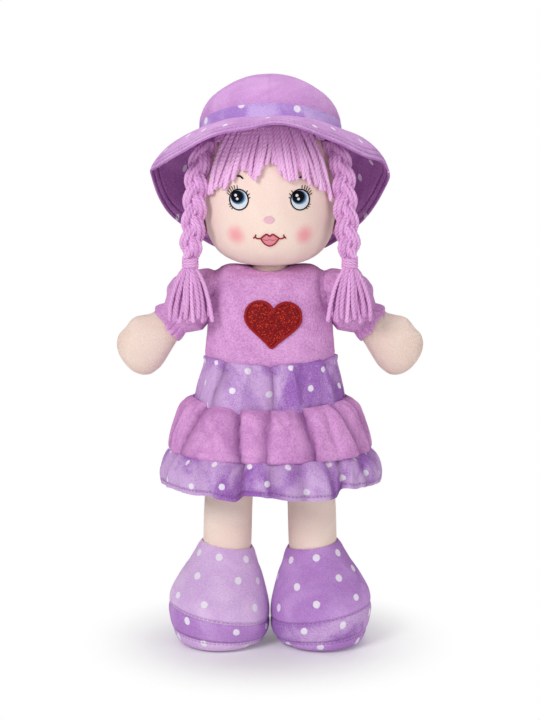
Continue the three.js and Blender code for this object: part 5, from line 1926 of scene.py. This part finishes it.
class DOLL_OT_plaits(bpy.types.Operator):
    """Plaits the yarn at both sides, with its ties and tassels"""

    bl_idname = "doll.plaits"
    bl_label = "Plaits and tassels"

    def execute(self, context):
        for name, make, node in (
            ("plait_yarn", self.plait, "plait"),
            ("tie_yarn", self.tie, "plait_tie"),
            ("tassel_yarn", self.tassel, "tassel"),
        ):
            left = make(f"left_{name}")
            coat(left, yarn_wool())
            for side, piece in (("left", left), ("right", mirrored(left, f"right_{name}"))):
                dress(piece, f"{side}_plait", "yarn", f"{side}_{node}")
                if node == "tassel":
                    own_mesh(piece)
        return {"FINISHED"}

    def middle(self, drop):
        bow = through([0, 0.1, 0.2, 0.35, 0.53, 0.77, 1], [0, 0.3, 0.55, 0.68, 0.76, 0.88, 1], drop)
        return at(41.4 + 13.1 * bow, -18.9 - 10.1 * bow, 354 - 82 * drop)

    def plait(self, name):
        bundle = [(-2.6, -0.1), (-0.1, 1.5), (2.5, 0.1), (0.1, -1.5)]
        count = 84
        paths = []
        for k in range(3):
            for across, forward in bundle:
                points = []
                for i in range(count + 1):
                    drop = i / count
                    turn = full_turn * (1.9 * drop + k / 3)
                    size = through([0, 0.1, 0.84, 0.95, 1], [0.7, 1, 1, 0.62, 0.4], drop)
                    x = (4.5 * math.sin(turn) + across) * size
                    y = -(2.5 * math.sin(2 * turn) + forward) * size
                    points.append(self.middle(drop) + Vector((x, y, 0)) * mm)
                paths.append(points)
        return strands(name, paths, sizes().plait_yarn, 8)

    def tie(self, name):
        top = self.middle(1)
        points = []
        for i in range(97):
            turn = full_turn * 3.5 * i / 96
            points.append(top + Vector((4.7 * math.cos(turn), 4.7 * math.sin(turn), 3.4 - 6.8 * i / 96)) * mm)
        return strands(name, [points], 1.15 * mm, 9)

    def tassel(self, name):
        chance = random.Random(17)
        top = self.middle(1)
        count = sizes().tassel_strands
        lengths = [0, 0.1, 0.2, 0.42, 0.72, 1]
        paths = []
        for i in range(count):
            out = math.sqrt((i + 0.5) / count)
            angle = i * 2.39996
            across, deep = out * math.cos(angle), out * math.sin(angle)
            reach = 41 + chance.uniform(-5.0, 1.5) - 2 * across * across
            phase, sway = chance.uniform(0, full_turn), chance.uniform(0.4, 1.5)
            points = []
            for k in range(33):
                drop = k / 32
                wide = 16.6 * through(lengths, [0.2, 0.24, 0.42, 0.7, 0.9, 1], drop)
                thick = 5.4 * through(lengths, [0.5, 0.6, 0.84, 1, 1, 0.95], drop)
                wave = sway * drop * math.sin(phase + 5 * drop)
                points.append(
                    top + Vector((wide * across + wave, thick * deep, -reach * drop)) * mm
                )
            paths.append(points)
        return strands(name, paths, sizes().tassel_yarn, 8)


operators = (
    DOLL_OT_stage,
    DOLL_OT_head,
    DOLL_OT_face,
    DOLL_OT_bodice,
    DOLL_OT_skirt,
    DOLL_OT_arms,
    DOLL_OT_legs,
    DOLL_OT_hat,
    DOLL_OT_hair,
    DOLL_OT_plaits,
)


class DOLL_PT_sidebar(bpy.types.Panel):
    """Lists the doll's pieces, sizes and colours"""

    bl_label = "Rag doll"
    bl_idname = "DOLL_PT_sidebar"
    bl_space_type = "VIEW_3D"
    bl_region_type = "UI"
    bl_category = "Doll"

    def draw(self, context):
        column = self.layout.column(align=True)
        for operator in operators:
            column.operator(operator.bl_idname)
        for group in (sizes(), colours()):
            for key in type(group).__annotations__:
                column.prop(group, key)


def register():
    for part in (DollSizes, DollColours, *operators, DOLL_PT_sidebar):
        bpy.utils.register_class(part)
    bpy.types.Scene.doll_sizes = PointerProperty(type=DollSizes)
    bpy.types.Scene.doll_colours = PointerProperty(type=DollColours)


def unregister():
    del bpy.types.Scene.doll_colours
    del bpy.types.Scene.doll_sizes
    for part in (DOLL_PT_sidebar, *reversed(operators), DollColours, DollSizes):
        bpy.utils.unregister_class(part)


def main():
    register()
    bpy.ops.doll.stage()
    bpy.ops.doll.head()
    bpy.ops.doll.face()
    bpy.ops.doll.bodice()
    bpy.ops.doll.skirt()
    bpy.ops.doll.arms()
    bpy.ops.doll.legs()
    bpy.ops.doll.hat()
    bpy.ops.doll.hair()
    bpy.ops.doll.plaits()


if __name__ == "__main__":
    main()
